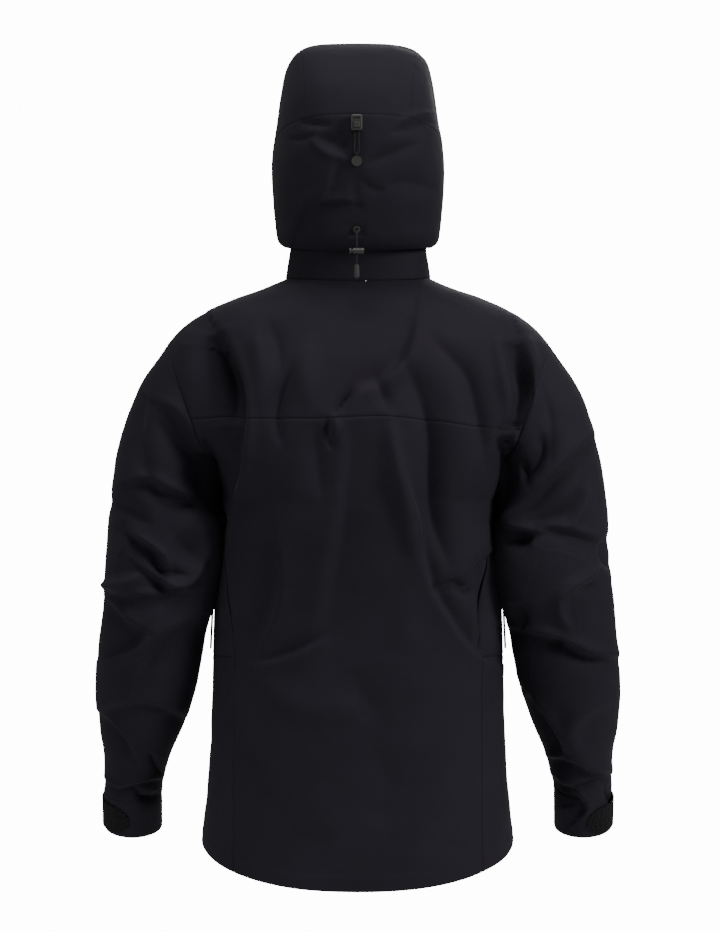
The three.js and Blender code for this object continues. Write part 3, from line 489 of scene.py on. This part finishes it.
def folds(x, z, waves, laps):
    """Height that waves and laps give the cloth over its smooth form."""
    height = np.zeros(x.shape)
    for stroke in (*waves, *laps):
        count = next(k for k, item in enumerate(stroke) if isinstance(item, tuple))
        depth, *widths = stroke[:count]
        line = rounded_line(stroke[count:])
        low, high = line.min(axis=0) - 3 * max(widths), line.max(axis=0) + 3 * max(widths)
        near = (x > low[0]) & (x < high[0]) & (z > low[1]) & (z < high[1])
        if not near.any():
            continue
        d, share = along(x[near], z[near], line)
        taper = np.sin(np.pi * np.clip(share, STROKE_TIP, 1 - STROKE_TIP)) ** STROKE_BLUNT
        if len(widths) == 1:
            power = 1.3 if depth < 0 else 2
            width = widths[0] * (0.5 + 0.5 * taper)
            height[near] += WAVE_GAIN * depth * taper * np.exp(-((np.abs(d) / width) ** power))
        else:
            bulge = LAP_BULGE * np.exp(-((d / widths[0] / 1.3) ** 2))
            hollow = -LAP_HOLLOW * np.exp(-((np.abs(d) / widths[1]) ** 1.5))
            over = 0.5 + 0.5 * np.tanh(d / (LAP_TURN * widths[1]))
            height[near] += depth * taper * mix(bulge, hollow, over)
    return height


CRINKLE_LENGTHS = (26, 34, 45, 60, 80, 110)
CRINKLE_SLOPE = 0.0022


def crinkle(p):
    """Small uneven waves in every direction, each under a quarter of a millimetre high."""
    rng = np.random.default_rng(7)
    height = np.zeros(len(p))
    for wave in CRINKLE_LENGTHS:
        for _ in range(2):
            way = rng.normal(size=3)
            way /= np.linalg.norm(way)
            side = rng.normal(size=3) * 0.02
            bend = 1.6 * np.sin(p @ side + rng.uniform(0, 6))
            height += wave * CRINKLE_SLOPE * np.sin(2 * np.pi * (p @ way) / wave + bend + rng.uniform(0, 6))
    return height


# How far in from an edge the close rows lie, and the clear space past the last of them.
ROLLED_ROWS, CLEAR = (0.6, 1.4, 2.6, 4.5, 7.5), 1.3


def spread(count, length):
    """Shares from 0 to 1, evenly spaced inside and close together at both ends, where a seam is rolled."""
    even = np.linspace(0, 1, count + 1)
    close = np.array(ROLLED_ROWS) / length
    inside = even[(even > close[-1] * CLEAR) & (even < 1 - close[-1] * CLEAR)]
    return np.concatenate([[0], close, inside, 1 - close[::-1], [1]])


# How far the armhole's and the shoulder ridge's own directions reach from the seam, and the heights or the x between
# which they come and go.
RING_BAND, RING_BOTTOM, RING_TOP = 18, (-330, -288), (-86, -66)
RIDGE_BAND, RIDGE_DEPTH, RIDGE_START, RIDGE_END = 9, 40, (86, 94), 243


def seam_normals(x, y, z, n):
    """Directions in which the cloth is raised. Two pieces that share a seam agree on them, so it stays shut."""
    # Where sleeve and body meet, both move along the armhole's own rays.
    near_ring = np.exp(-(((np.abs(x) - armhole_x(z)) / RING_BAND) ** 2))
    near_ring *= rise(z, *RING_BOTTOM) * (1 - rise(z, *RING_TOP))
    rays = np.stack([0 * x, (y - BODY_Y) / ARM_DEPTH, (z - ARM_Z) / ARM_HALF], axis=-1)
    rays /= np.linalg.norm(rays, axis=-1, keepdims=True) + 1e-9
    n = mix(n, rays, near_ring[..., None])
    # Front and back meet along the shoulder, where both move straight up.
    ridge = np.exp(-(((z - shoulder_z(np.abs(x))) / RIDGE_BAND) ** 2))
    ridge *= rise(np.abs(x), *RIDGE_START) * (np.abs(x) < RIDGE_END)
    ridge *= np.exp(-(((y - BODY_Y) / RIDGE_DEPTH) ** 2))
    n = mix(n, np.array([0.0, 0.0, 1.0]), ridge[..., None])
    return n / np.linalg.norm(n, axis=-1, keepdims=True)


def cloth_height(p, n):
    """Folds, crinkles and taped seam lines at points p, whose outer side faces n."""
    x, _, z = (p[..., k] for k in range(3))
    facing = rise(n[..., 1], -0.3, 0.3)
    height = facing * folds(x, z, BACK_WAVES, BACK_LAPS)
    height += (1 - facing) * (folds(x, z, FRONT_WAVES, []) + folds(-x, z, FRONT_WAVES, []))
    height += crinkle(p.reshape(-1, 3)).reshape(x.shape)
    for line in BACK_SEAMS:
        d, _ = along(x, z, rounded_line(line))
        height += (n[..., 1] > 0.1) * taped_seam(d)
    return height


def taped_seam(d):
    """The cloth's profile across a seam inside a piece: the tape's swell on one side, and the groove."""
    return 0.5 * np.exp(-(((d - 3) / 2.2) ** 2)) - 0.7 * np.exp(-((d / 1.1) ** 2))


def rolled_seam(d):
    """The cloth's profile at a distance from an edge where it is rolled under: a low swell, then the groove."""
    return 0.3 * np.exp(-(((d - 4) / 2.6) ** 2)) - 0.8 * np.exp(-((d / 1.1) ** 2))


def stitched_hem(d):
    """The profile at a distance past a line of stitching: the hem's swell outside it, and the groove at it."""
    return 0.4 * np.exp(-(((d + 7) / 7) ** 2)) - 0.5 * np.exp(-((d / 1.2) ** 2))


def panel(
    name, point, across, down, size, ring=False, seams=(1, 1, 1, 1), hem=(0, 0), calm=None, fill=None, thick=1.1,
):
    """A cloth panel over point(u, v), whose outer side is d/du x d/dv. size is its rough width and height.
    seams says how deep each edge (v=0, v=1, u=0, u=1) is rolled under, and hem how far in a line of stitching
    lies from the v=0 and v=1 edges. calm is a function of x, y, z that holds the folds down where it is 1, and
    fill one that puffs the cloth out. thick is the cloth's thickness."""
    u = np.linspace(0, 1, across + 1)[:-1] if ring else spread(across, size[0])
    v = spread(down, size[1])
    uu, vv = np.meshgrid(u, v)
    step = 0.002

    def at(a, b):
        a = a % 1.0 if ring else np.clip(a, 0, 1)
        return np.stack(point(a, np.clip(b, 0, 1)), axis=-1)

    p = at(uu, vv)
    du = at(uu + step, vv) - at(uu - step, vv)
    dv = at(uu, vv + step) - at(uu, vv - step)
    n = np.cross(du, dv)
    n /= np.linalg.norm(n, axis=-1, keepdims=True) + 1e-12
    x, y, z = (p[..., k] for k in range(3))
    n = seam_normals(x, y, z, n)
    height = cloth_height(p, n)
    if calm:
        height *= 1 - calm(x, y, z)
    if fill:
        height += fill(x, y, z)
    across_steps = np.diff(p, axis=1, prepend=p[:, :1])
    down_steps = np.diff(p, axis=0, prepend=p[:1])
    across_mm = np.cumsum(np.linalg.norm(across_steps, axis=-1), axis=1)
    down_mm = np.cumsum(np.linalg.norm(down_steps, axis=-1), axis=0)
    edges = [down_mm, down_mm[-1:] - down_mm]
    if not ring:
        edges += [across_mm, across_mm[:, -1:] - across_mm]
    for depth, d in zip(seams, edges):
        height += depth * rolled_seam(d)
    for inset, d in zip(hem, edges):
        if inset:
            height += stitched_hem(d - inset)
    outer = p + n * height[..., None]
    inner = outer - n * thick
    rows, columns = uu.shape
    points = np.concatenate([outer.reshape(-1, 3), inner.reshape(-1, 3)])
    first = np.arange(rows * columns).reshape(rows, columns)
    if ring:
        first = np.concatenate([first, first[:, :1]], axis=1)
    second = first + rows * columns

    def quads(a, b, c, d):
        return np.stack([a.ravel(), b.ravel(), c.ravel(), d.ravel()], axis=1)

    faces = [
        quads(first[:-1, :-1], first[:-1, 1:], first[1:, 1:], first[1:, :-1]),
        quads(second[:-1, 1:], second[:-1, :-1], second[1:, :-1], second[1:, 1:]),
        quads(second[0, :-1], second[0, 1:], first[0, 1:], first[0, :-1]),
        quads(second[-1, 1:], second[-1, :-1], first[-1, :-1], first[-1, 1:]),
    ]
    if not ring:
        faces.append(quads(second[1:, 0], second[:-1, 0], first[:-1, 0], first[1:, 0]))
        faces.append(quads(second[:-1, -1], second[1:, -1], first[1:, -1], first[:-1, -1]))
    mesh = bpy.data.meshes.new(name)
    mesh.from_pydata(metres(points).tolist(), [], np.concatenate(faces).tolist())
    mesh.shade_smooth()
    piece = bpy.data.objects.new(name, mesh)
    bpy.context.collection.objects.link(piece)
    mesh.materials.append(shell_cloth)
    return piece


def this_side(point):
    """The surface as it is, on the wearer's left."""
    return point


def other_side(point):
    """The same surface for the wearer's right."""

    def flipped(u, v):
        x, y, z = point(1 - u, v)
        return -x, y, z

    return flipped


SIDES = (("left", this_side, 1), ("right", other_side, -1))

# ---------------------------------------------------------------- the body
# Back panel, yoke, two fronts, two side panels and two underarm gussets, cut from the same laminate, sewn
# edge to edge and taped inside, with a drawcord hem that drops at the back.

BODY_Y = 5
BOXINESS = 2.3
HEM_BACK, HEM_SIDE, HEM_FRONT = -765, -716, -722
YOKE_SEAM, GUSSET_SEAM, GUSSET_TOP = -178, -480, -263
BACK_SEAM_X, FRONT_SEAM_X = 154, 165
NECK_HALF, NECK_DROP = 92, 70
PANEL_EDGE_X = 10
ARM_TOP_X, ARM_TOP_Z, ARM_LOW_X, ARM_LOW_Z, ARM_DEPTH = 242, -88, 172, -285, 80
ARM_Z, ARM_HALF = (ARM_TOP_Z + ARM_LOW_Z) / 2, (ARM_TOP_Z - ARM_LOW_Z) / 2
ZIP_LOW_Z, ZIP_LOW_Y, ZIP_HEIGHT, ZIP_LEAN = -716, -158, 774, 54
CHEST_Z = -75
YOKE_HALF = 210
ROW_POWER = 2.2
FRONT_SPLIT = 0.75

back_y = law([(-765, 138), (-600, 131), (-450, 130), (-320, 141), (-200, 149), (-120, 136), (-60, 110), (-11, 80)])
shoulder_fall = law([(-75, 0), (-50, 14), (-30, 30), (-5, 52)])
side_x = law([(-765, 198), (-720, 198), (-640, 190), (-560, 186), (-480, 184), (-411, 182), (-350, 177), (-285, 172)])
SHOULDER = [(92, -5), (124, -18), (158, -30), (201, -50), (226, -69), (242, -88)]
shoulder_z = law(SHOULDER)


def shoulder_x(z):
    """Where the shoulder line is at a height: the inverse of shoulder_z."""
    along_x = np.linspace(SHOULDER[0][0], SHOULDER[-1][0], 400)
    return np.interp(-z, -shoulder_z(along_x), along_x)


def zip_y(z):
    """The front zip leans back from the hem to the chin."""
    return ZIP_LOW_Y + ZIP_LEAN * (z - ZIP_LOW_Z) / ZIP_HEIGHT


def depth_at(z, side):
    """How deep the body is from its middle to the back (side 1) or the front (side -1)."""
    front = BODY_Y - zip_y(np.minimum(z, CHEST_Z)) - shoulder_fall(z)
    return np.where(side > 0, back_y(z) - BODY_Y, front)


def armhole_x(z):
    """The armhole lies in a slanting plane."""
    return ARM_TOP_X + (ARM_LOW_X - ARM_TOP_X) * (ARM_TOP_Z - z) / (ARM_TOP_Z - ARM_LOW_Z)


def half_width(z, side):
    """Half the body's width at a height, so that beside an armhole the rim's depth is met exactly."""
    edge = ARM_DEPTH * np.sqrt(np.clip(1 - ((z - ARM_Z) / ARM_HALF) ** 2, 0, 1))
    inside = 1 - (edge / depth_at(z, side)) ** BOXINESS
    beside = armhole_x(z) / np.clip(inside, 0.05, 1) ** (1 / BOXINESS)
    return np.where(z >= ARM_TOP_Z, shoulder_x(z), np.where(z <= ARM_LOW_Z, side_x(z), beside))


def body_y(x, z, side):
    """The body's back (side 1) or front (side -1) over a point."""
    share = np.clip(np.abs(x) / half_width(z, side), 0, 1)
    return BODY_Y + side * depth_at(z, side) * (1 - share**BOXINESS) ** (1 / BOXINESS)


def signed_power(v, power):
    return np.sign(v) * np.abs(v) ** power


def body_at(angle, z):
    """The body by angle: 0 at the middle of the back, pi / 2 at the side, pi at the zip."""
    side = np.where(angle < np.pi / 2, 1, -1)
    x = half_width(z, side) * signed_power(np.sin(angle), 2 / BOXINESS)
    return x, BODY_Y + depth_at(z, side) * signed_power(np.cos(angle), 2 / BOXINESS), z


def angle_of(x, z, side):
    """The angle at which the body has this x."""
    angle = np.arcsin(np.clip(np.abs(x) / half_width(z, side), 0, 1) ** (BOXINESS / 2))
    return angle if side > 0 else np.pi - angle


def hem_at(angle):
    """The hem's height, lowest at the middle of the back."""
    back = mix(HEM_SIDE, HEM_BACK, np.clip(np.cos(angle), 0, 1) ** 1.2)
    return np.where(angle < np.pi / 2, back, mix(HEM_SIDE, HEM_FRONT, -np.cos(angle)))


def panel_edge(z, seam_x):
    """Where a front or back panel ends: at its side seam, beside the gusset or at the armhole."""
    share = np.clip((z - GUSSET_SEAM) / (GUSSET_TOP - GUSSET_SEAM), 0, 1)
    return np.where(z >= GUSSET_TOP, armhole_x(z), mix(seam_x, armhole_x(GUSSET_TOP), share))


def upper_row(share, top):
    """Heights from the yoke's seam to the top, closer together near the top."""
    return mix(YOKE_SEAM, top, 1 - (1 - share) ** ROW_POWER)


def yoke_line(x):
    """The yoke seam across the back, which hangs lower towards the wearer's right."""
    return YOKE_SEAM - 5 - 14 * rise(-x, 60, 200) + 3 * np.exp(-(((x + 20) / 40) ** 2))


def neck_back_z(x):
    return -11 + 6 * (x / NECK_HALF) ** 2


def neck_front_z(x):
    return -5 - NECK_DROP * np.clip(1 - (x / NECK_HALF) ** 2, 0, 1) ** 1.3


def top_of(x, neck_z):
    """The panels' top edge: the neckline, then the shoulder."""
    return np.where(x < NECK_HALF, neck_z(np.minimum(x, NECK_HALF)), shoulder_z(x))


def back_panel(u, v):
    s = 1 - 2 * u
    z = mix(hem_at(angle_of(s * BACK_SEAM_X, HEM_SIDE, 1)), yoke_line(s * YOKE_HALF), v)
    x = s * panel_edge(z, BACK_SEAM_X)
    return x, body_y(x, z, 1), z


def back_yoke(u, v):
    s = 1 - 2 * u
    row = 1 - (1 - v) ** ROW_POWER
    low = yoke_line(s * YOKE_HALF)
    z = mix(low, top_of(np.abs(s) * ARM_TOP_X, neck_back_z), row)
    x = s * armhole_x(mix(low, ARM_TOP_Z, row))
    return x, body_y(x, z, 1), z


def front_panel(u, v):
    low = v < FRONT_SPLIT
    share = np.clip((v - FRONT_SPLIT) / (1 - FRONT_SPLIT), 0, 1)
    hem = hem_at(angle_of(u * FRONT_SEAM_X, HEM_SIDE, -1))
    top = top_of(mix(PANEL_EDGE_X, ARM_TOP_X, u), neck_front_z)
    z = np.where(low, mix(hem, YOKE_SEAM, v / FRONT_SPLIT), upper_row(share, top))
    edge_z = np.where(low, z, upper_row(share, ARM_TOP_Z))
    x = mix(PANEL_EDGE_X, panel_edge(edge_z, FRONT_SEAM_X), u)
    return x, body_y(x, z, -1), z


def between_seams(share, z):
    """The body's angle at a share of the way from the front panel's edge to the back panel's."""
    front = angle_of(panel_edge(z, FRONT_SEAM_X), z, -1)
    return mix(front, angle_of(panel_edge(z, BACK_SEAM_X), z, 1), share)


def side_panel(u, v):
    z = mix(hem_at(between_seams(u, HEM_SIDE + 0 * u)), GUSSET_SEAM, v)
    return body_at(between_seams(u, z), z)


GUSSET_ARC = math.acos((ARM_Z - GUSSET_TOP) / ARM_HALF)


def gusset(u, v):
    turn = mix(-GUSSET_ARC, GUSSET_ARC, u)
    ring_z = ARM_Z - ARM_HALF * np.cos(turn)
    ring_x = armhole_x(ring_z)
    ring = np.where(turn > 0, angle_of(ring_x, ring_z, 1), angle_of(ring_x, ring_z, -1))
    z = mix(GUSSET_SEAM, ring_z, v)
    return body_at(mix(between_seams(u, z), ring, v**2), z)


POCKET_X, POCKET_BOTTOM, POCKET_TOP = 112, (-625, -590), (-412, -380)
PIT_BOTTOM, PIT_TOP = (-500, -478), (-374, -350)


def by_pockets(x, y, z):
    """Still along the front zip and the two pocket zips."""
    near = np.exp(-(((np.abs(x) - POCKET_X) / 14) ** 4)) * rise(z, *POCKET_BOTTOM) * (1 - rise(z, *POCKET_TOP))
    zip_line = np.exp(-((x / 18) ** 4))
    return np.where(y < 0, np.clip(near + zip_line, 0, 1), 0)


def by_underarm_zip(x, y, z):
    """Still along the zip under the arm."""
    return np.exp(-(((y - BODY_Y) / 16) ** 4)) * rise(z, *PIT_BOTTOM) * (1 - rise(z, *PIT_TOP))


back = panel("back_cloth", back_panel, 130, 190, (330, 580), hem=(22, 0), seams=(0.5, 1, 1, 1))
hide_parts("back_panel")
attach(back, "shell")
yoke = panel("yoke_cloth", back_yoke, 170, 60, (460, 170), seams=(1, 0.8, 1, 1))
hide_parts("back_yoke")
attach(yoke, "shell")
for side, way, _ in SIDES:
    for name, shape, across, down, size, hem in (
        ("front_panel", front_panel, 70, 190, (190, 700), 22),
        ("side_panel", side_panel, 40, 70, (120, 250), 22),
        ("underarm_gusset", gusset, 50, 60, (110, 200), 0),
    ):
        calm = by_pockets if name == "front_panel" else by_underarm_zip
        cloth = panel(f"{side}_{name}_cloth", way(shape), across, down, size, hem=(hem, 0), calm=calm)
        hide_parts(f"{side}_{name}")
        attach(cloth, "shell")

# ---------------------------------------------------------------- the collar
# A standing collar of the same cloth, higher in front, where it makes the chin guard.

COLLAR_ROUND = 0.9
COLLAR_TOP_HALF, COLLAR_TOP_DEPTH, COLLAR_BACK_Z, COLLAR_FRONT_Z = 86, 79, 30, 60
COLLAR_GAP = 11
COLLAR_END = math.pi - math.asin((COLLAR_GAP / NECK_HALF) ** (1 / COLLAR_ROUND))


def collar(u, v):
    """The collar from the neckline up. It ends COLLAR_GAP from the middle in front, beside the zip."""
    turn = mix(COLLAR_END, -COLLAR_END, u)
    a = np.abs(turn)
    s, c = signed_power(np.sin(a), COLLAR_ROUND), signed_power(np.cos(a), COLLAR_ROUND)
    at_back = a < np.pi / 2
    z0 = np.where(at_back, neck_back_z(NECK_HALF * s), neck_front_z(NECK_HALF * s))
    y0 = np.where(at_back, body_y(NECK_HALF * s, z0, 1), body_y(NECK_HALF * s, z0, -1))
    y1 = BODY_Y + np.where(at_back, COLLAR_TOP_DEPTH, BODY_Y - zip_y(COLLAR_FRONT_Z)) * c
    z1 = mix(COLLAR_BACK_Z, COLLAR_FRONT_Z, ((1 - np.cos(a)) / 2) ** 2)
    x = mix(NECK_HALF * s, COLLAR_TOP_HALF * s, v) * np.sign(turn)
    return x, mix(y0, y1, v), mix(z0, z1, v)


collar_cloth = panel("collar_cloth", collar, 150, 22, (500, 60), seams=(1, 0.3, 0.3, 0.3))
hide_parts("collar")
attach(collar_cloth, "shell")

# ---------------------------------------------------------------- the sleeves
# An upper sleeve, a forearm shaped forward at the elbow, and a cuff with a strap: a woolly loop strip is sewn
# round the wrist, and a moulded tab with hooks closes on it.

# Stations from the armhole to the wrist: x and z of the outer edge, x and z of the edge by the body, the middle's y,
# half the depth, and how far the ring leans, in degrees.
SLEEVE = [
    (242, -88, 172, -285, 5, 80, 0),
    (281, -146, 175, -303, 6, 80, 0),
    (304, -214, 173, -318, 8, 79, 0),
    (315, -290, 170, -340, 10, 77, 0),
    (319, -345, 171, -365, 12, 75, 0),
    (322, -390, 178, -390, 13, 73, 0),
    (328, -450, 191, -450, 8, 71, 6),
    (334, -520, 205, -520, -8, 67, 13),
    (331, -572, 222, -570, -22, 60, 16),
    (326, -612, 239, -608, -34, 54, 17),
    (327, -655, 250, -652, -46, 51, 16),
    (327, -703, 253, -705, -60, 49, 14),
]
ELBOW, CUFF, WRIST = 5, 10, 11  # stations
station_laws = [law([(i, row[k]) for i, row in enumerate(SLEEVE)]) for k in range(7)]


def sleeve_at(station, turn):
    """A point on the left sleeve: turn 0 is its outer edge, pi / 2 the back and pi the edge by the body."""
    out_x, out_z, in_x, in_z, mid_y, depth, tilt = (f(station) for f in station_laws)
    w = 0.5 + 0.5 * np.cos(turn)
    tilt = np.radians(tilt)
    y = mid_y + depth * np.sin(turn) * np.cos(tilt)
    return mix(in_x, out_x, w), y, mix(in_z, out_z, w) - depth * np.sin(turn) * np.sin(tilt)


def sleeve_part(start, end):
    """The sleeve between two stations."""
    return lambda u, v: sleeve_at(mix(start, end, v), -2 * np.pi * u)


def against_body(x, y, z):
    """The sleeve's inner edge rests against the side of the body down to the elbow."""
    inner = np.exp(-(((np.abs(x) - 190) / 24) ** 2))
    return (2 + 6 * rise(y, 12, 34)) * inner * rise(z, -450, -410) * (1 - rise(z, -306, -280))


def held_to_body(x, y, z):
    """Folds die out where the sleeve is pressed against the body."""
    return np.exp(-(((np.abs(x) - 174) / 17) ** 2)) * rise(z, -460, -430) * (1 - rise(z, -312, -288))


for side, way, sign in SIDES:
    upper = panel(
        f"{side}_upper_sleeve_cloth", way(sleeve_part(0, ELBOW)), 150, 90, (400, 280), ring=True,
        seams=(1, 0.1), calm=held_to_body, fill=against_body,
    )
    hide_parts(f"{side}_upper_sleeve")
    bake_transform(upper)
    fore = panel(
        f"{side}_forearm_cloth", way(sleeve_part(ELBOW, CUFF)), 150, 100, (400, 280), ring=True,
        seams=(0.1, 0.5), calm=held_to_body, fill=against_body,
    )
    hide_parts(f"{side}_forearm_sleeve")
    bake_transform(fore)
    cuff = panel(
        f"{side}_cuff_cloth", way(sleeve_part(CUFF, WRIST)), 120, 26, (280, 50), ring=True, seams=(1, 0.3),
    )
    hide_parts(f"{side}_cuff")
    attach(cuff, f"{side}_forearm")

# ---------------------------------------------------------------- the hood
# A stiffened peak, a crown strip over the head, two side panels and one lower panel that wraps the nape. Its
# lower edge stands out over the collar.

# From the lower edge to the tip of the peak: the share of the way, y and z at the back, the middle and the face, half
# the width, how square the section is, and the angle at which its cloth ends by the face, in degrees.
HOOD = [
    (0, 95, 27, 5, 36, -108, 52, 94, 2.4, 150),
    (0.05, 104, 34, 5, 42, -105, 60, 101, 2.4, 146),
    (0.12, 113, 50, 1, 55, -102, 72, 104, 2.4, 138),
    (0.25, 128, 95, -5, 92, -99, 105, 108, 2.5, 130),
    (0.4, 135, 145, -20, 130, -98, 128, 110, 2.7, 122),
    (0.52, 132, 191, -40, 150, -100, 147, 109, 2.8, 116),
    (0.64, 116, 235, -62, 166, -101, 166, 105, 3.2, 105),
    (0.76, 80, 272, -80, 180, -102, 180, 101, 3.8, 94),
    (0.86, 30, 291, -92, 188, -102, 188, 97, 4.5, 90),
    (0.94, -35, 294, -97, 195, -98, 195, 92, 4.5, 90),
    (1, -118, 272, -100, 200, -101, 200, 84, 3.5, 88),
]
HOOD_SEAM, BRIM_SEAM = 0.52, 0.955
HOOD_CALM = 0.35
arch_y, arch_z, mid_y, mid_z, face_y, face_z, hood_half, hood_round, hood_end = (
    law([(row[0], row[k]) for row in HOOD]) for k in range(1, 10)
)
# Half the width of the crown strip along the same way.
crown_half = law([(0.5, 66), (0.64, 68), (0.76, 71), (0.86, 75), (1, 74)])


def hood_at(share, angle):
    """The hood by angle: 0 at the middle of the back, pi / 2 at the side."""
    power = 2 / hood_round(share)
    reach = signed_power(np.cos(angle), power)
    x = hood_half(share) * signed_power(np.sin(angle), power)
    y = mix(mid_y(share), np.where(reach > 0, arch_y(share), face_y(share)), np.abs(reach))
    return x, y, mix(mid_z(share), np.where(reach > 0, arch_z(share), face_z(share)), np.abs(reach))


def face_angle(share):
    return np.radians(np.maximum(hood_end(share), 90))


def crown_angle(share):
    return np.arcsin((crown_half(share) / hood_half(share)) ** (hood_round(share) / 2))


def hood_strip(start, end, from_angle, to_angle):
    """A strip of the hood between two shares of its way and two angles that change along it."""

    def point(u, v):
        share = mix(start, end, v)
        return hood_at(share, mix(from_angle(share), to_angle(share), u))

    return point


def by_hardware(x, y, z):
    """Shallow folds, still under the lock, the disc and the eyelet, and towards the stiffened edge of the face."""
    line = np.exp(-(((x - TRIM_X) / 13) ** 4)) * (y > 60)
    lock_and_disc = rise(z, 116, 124) * (1 - rise(z, 196, 204))
    eyelet = rise(z, 40, 44) * (1 - rise(z, 58, 62))
    trims = line * np.maximum(lock_and_disc, eyelet)
    return np.maximum(np.maximum(trims, HOOD_CALM), rise(-y, -30, 25))


hood_back = panel(
    "hood_back_cloth",
    hood_strip(0, HOOD_SEAM, face_angle, lambda s: -face_angle(s)),
    200, 80, (520, 180), seams=(0.3, 0.5, 0.2, 0.2), calm=by_hardware,
)
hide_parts("hood_back")
crown = panel(
    "hood_crown_cloth",
    hood_strip(HOOD_SEAM, BRIM_SEAM, crown_angle, lambda s: -crown_angle(s)),
    70, 100, (145, 260), seams=(0.5, 0.6, 0.6, 0.6), calm=by_hardware,
)
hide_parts("hood_crown")
brim = panel(
    "hood_brim_cloth",
    hood_strip(BRIM_SEAM, 1, face_angle, lambda s: -face_angle(s)),
    120, 30, (330, 80), seams=(0.6, 0.3, 0.2, 0.2), hem=(0, 8), calm=by_hardware, thick=2,
)
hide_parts("hood_brim")
# The lower front corners stay on the collar when the hood tips back.
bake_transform(hood_back)
hood_pieces = [crown, brim]
for side, way, _ in SIDES:
    cheek = panel(
        f"{side}_hood_side_cloth",
        way(hood_strip(HOOD_SEAM, BRIM_SEAM, face_angle, crown_angle)),
        60, 100, (140, 200), seams=(0.5, 0.6, 0.2, 0.6), calm=by_hardware,
    )
    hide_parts(f"{side}_hood_side")
    hood_pieces.append(cheek)
for piece in hood_pieces:
    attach(piece, "hood")

# ---------------------------------------------------------------- cuff straps
# The loop strip is a woolly tape, and the tab is moulded in soft plastic over it.

loop_wool, shader = finish_of("loop_wool", (0.012, 0.011, 0.013), 0.95)
tufts = add_node(loop_wool.node_tree, "TexVoronoi", Scale=420)
place = add_node(loop_wool.node_tree, "TexCoord")
tuft_bump = add_node(loop_wool.node_tree, "Bump", Distance=0.004)
wire(loop_wool, place, "Object", tufts.inputs["Vector"])
wire(loop_wool, tufts, "Distance", tuft_bump.inputs["Height"])
wire(loop_wool, tuft_bump, "Normal", shader.inputs["Normal"])
# Painted shade: each tuft is lighter at its middle, and the colour darkens to near black between tufts, where the
# loops shade each other.
tuft_painted_shade = add_node(loop_wool.node_tree, "ValToRGB")
tuft_painted_shade.color_ramp.elements[0].color = (0.016, 0.014, 0.02, 1)
tuft_painted_shade.color_ramp.elements[1].color = (0.0012, 0.001, 0.0015, 1)
tuft_painted_shade.color_ramp.elements[1].position = 0.62
wire(loop_wool, tufts, "Distance", tuft_painted_shade.inputs["Fac"])
wire(loop_wool, tuft_painted_shade, "Color", shader.inputs["Base Color"])

# ---------------------------------------------------------------- moulded trims, metal and tapes
# Injection-moulded nylon locks, tips and pulls, black lacquered sliders and eyelet, and satin coated tapes.


def moulding(name, colour, roughness, metallic=0.0, grain=900.0, bump=0.00005):
    """A moulded or coated finish, with a fine grain in its surface and its gloss."""
    material, bsdf = finish_of(name, colour, roughness, metallic)
    tree = material.node_tree
    place = add_node(tree, "TexCoord")
    noise = add_node(tree, "TexNoise", Scale=grain, Detail=3)
    relief = add_node(tree, "Bump", Distance=bump)
    spreading = add_node(tree, "MapRange", **{"To Min": roughness - 0.08, "To Max": roughness + 0.1})
    wire(material, place, "Object", noise.inputs["Vector"])
    wire(material, noise, "Fac", relief.inputs["Height"])
    wire(material, noise, "Fac", spreading.inputs["Value"])
    wire(material, spreading, "Result", bsdf.inputs["Roughness"])
    wire(material, relief, "Normal", bsdf.inputs["Normal"])
    return material


moulded_trim = moulding("moulded_trim", (0.06, 0.06, 0.058), 0.4)
black_lacquer = moulding("black_lacquer", (0.09, 0.09, 0.09), 0.32, 0.7)
coated_tape = moulding("coated_tape", (0.011, 0.0105, 0.0125), 0.58, 0.0, 2500.0, 0.0001)


def repaint(node, material):
    """Gives a solid of the assembly its finish."""
    solid = frame["nodes"][node]
    solid.data.materials.clear()
    solid.data.materials.append(material)


slots = {
    "cloth": shell_cloth,
    "zip": coated_tape,
    "trim": moulded_trim,
    "cordage": cord_braid,
    "metal": black_lacquer,
    "loop_tape": loop_wool,
}
for part in frame["record"]["subparts"]:
    repaint(part["node"], slots[part["material_slot"]])
tab_plastic = moulding("tab_plastic", (0.017, 0.016, 0.019), 0.55)
for side in ("left", "right"):
    repaint(f"{side}_cuff_tab", tab_plastic)
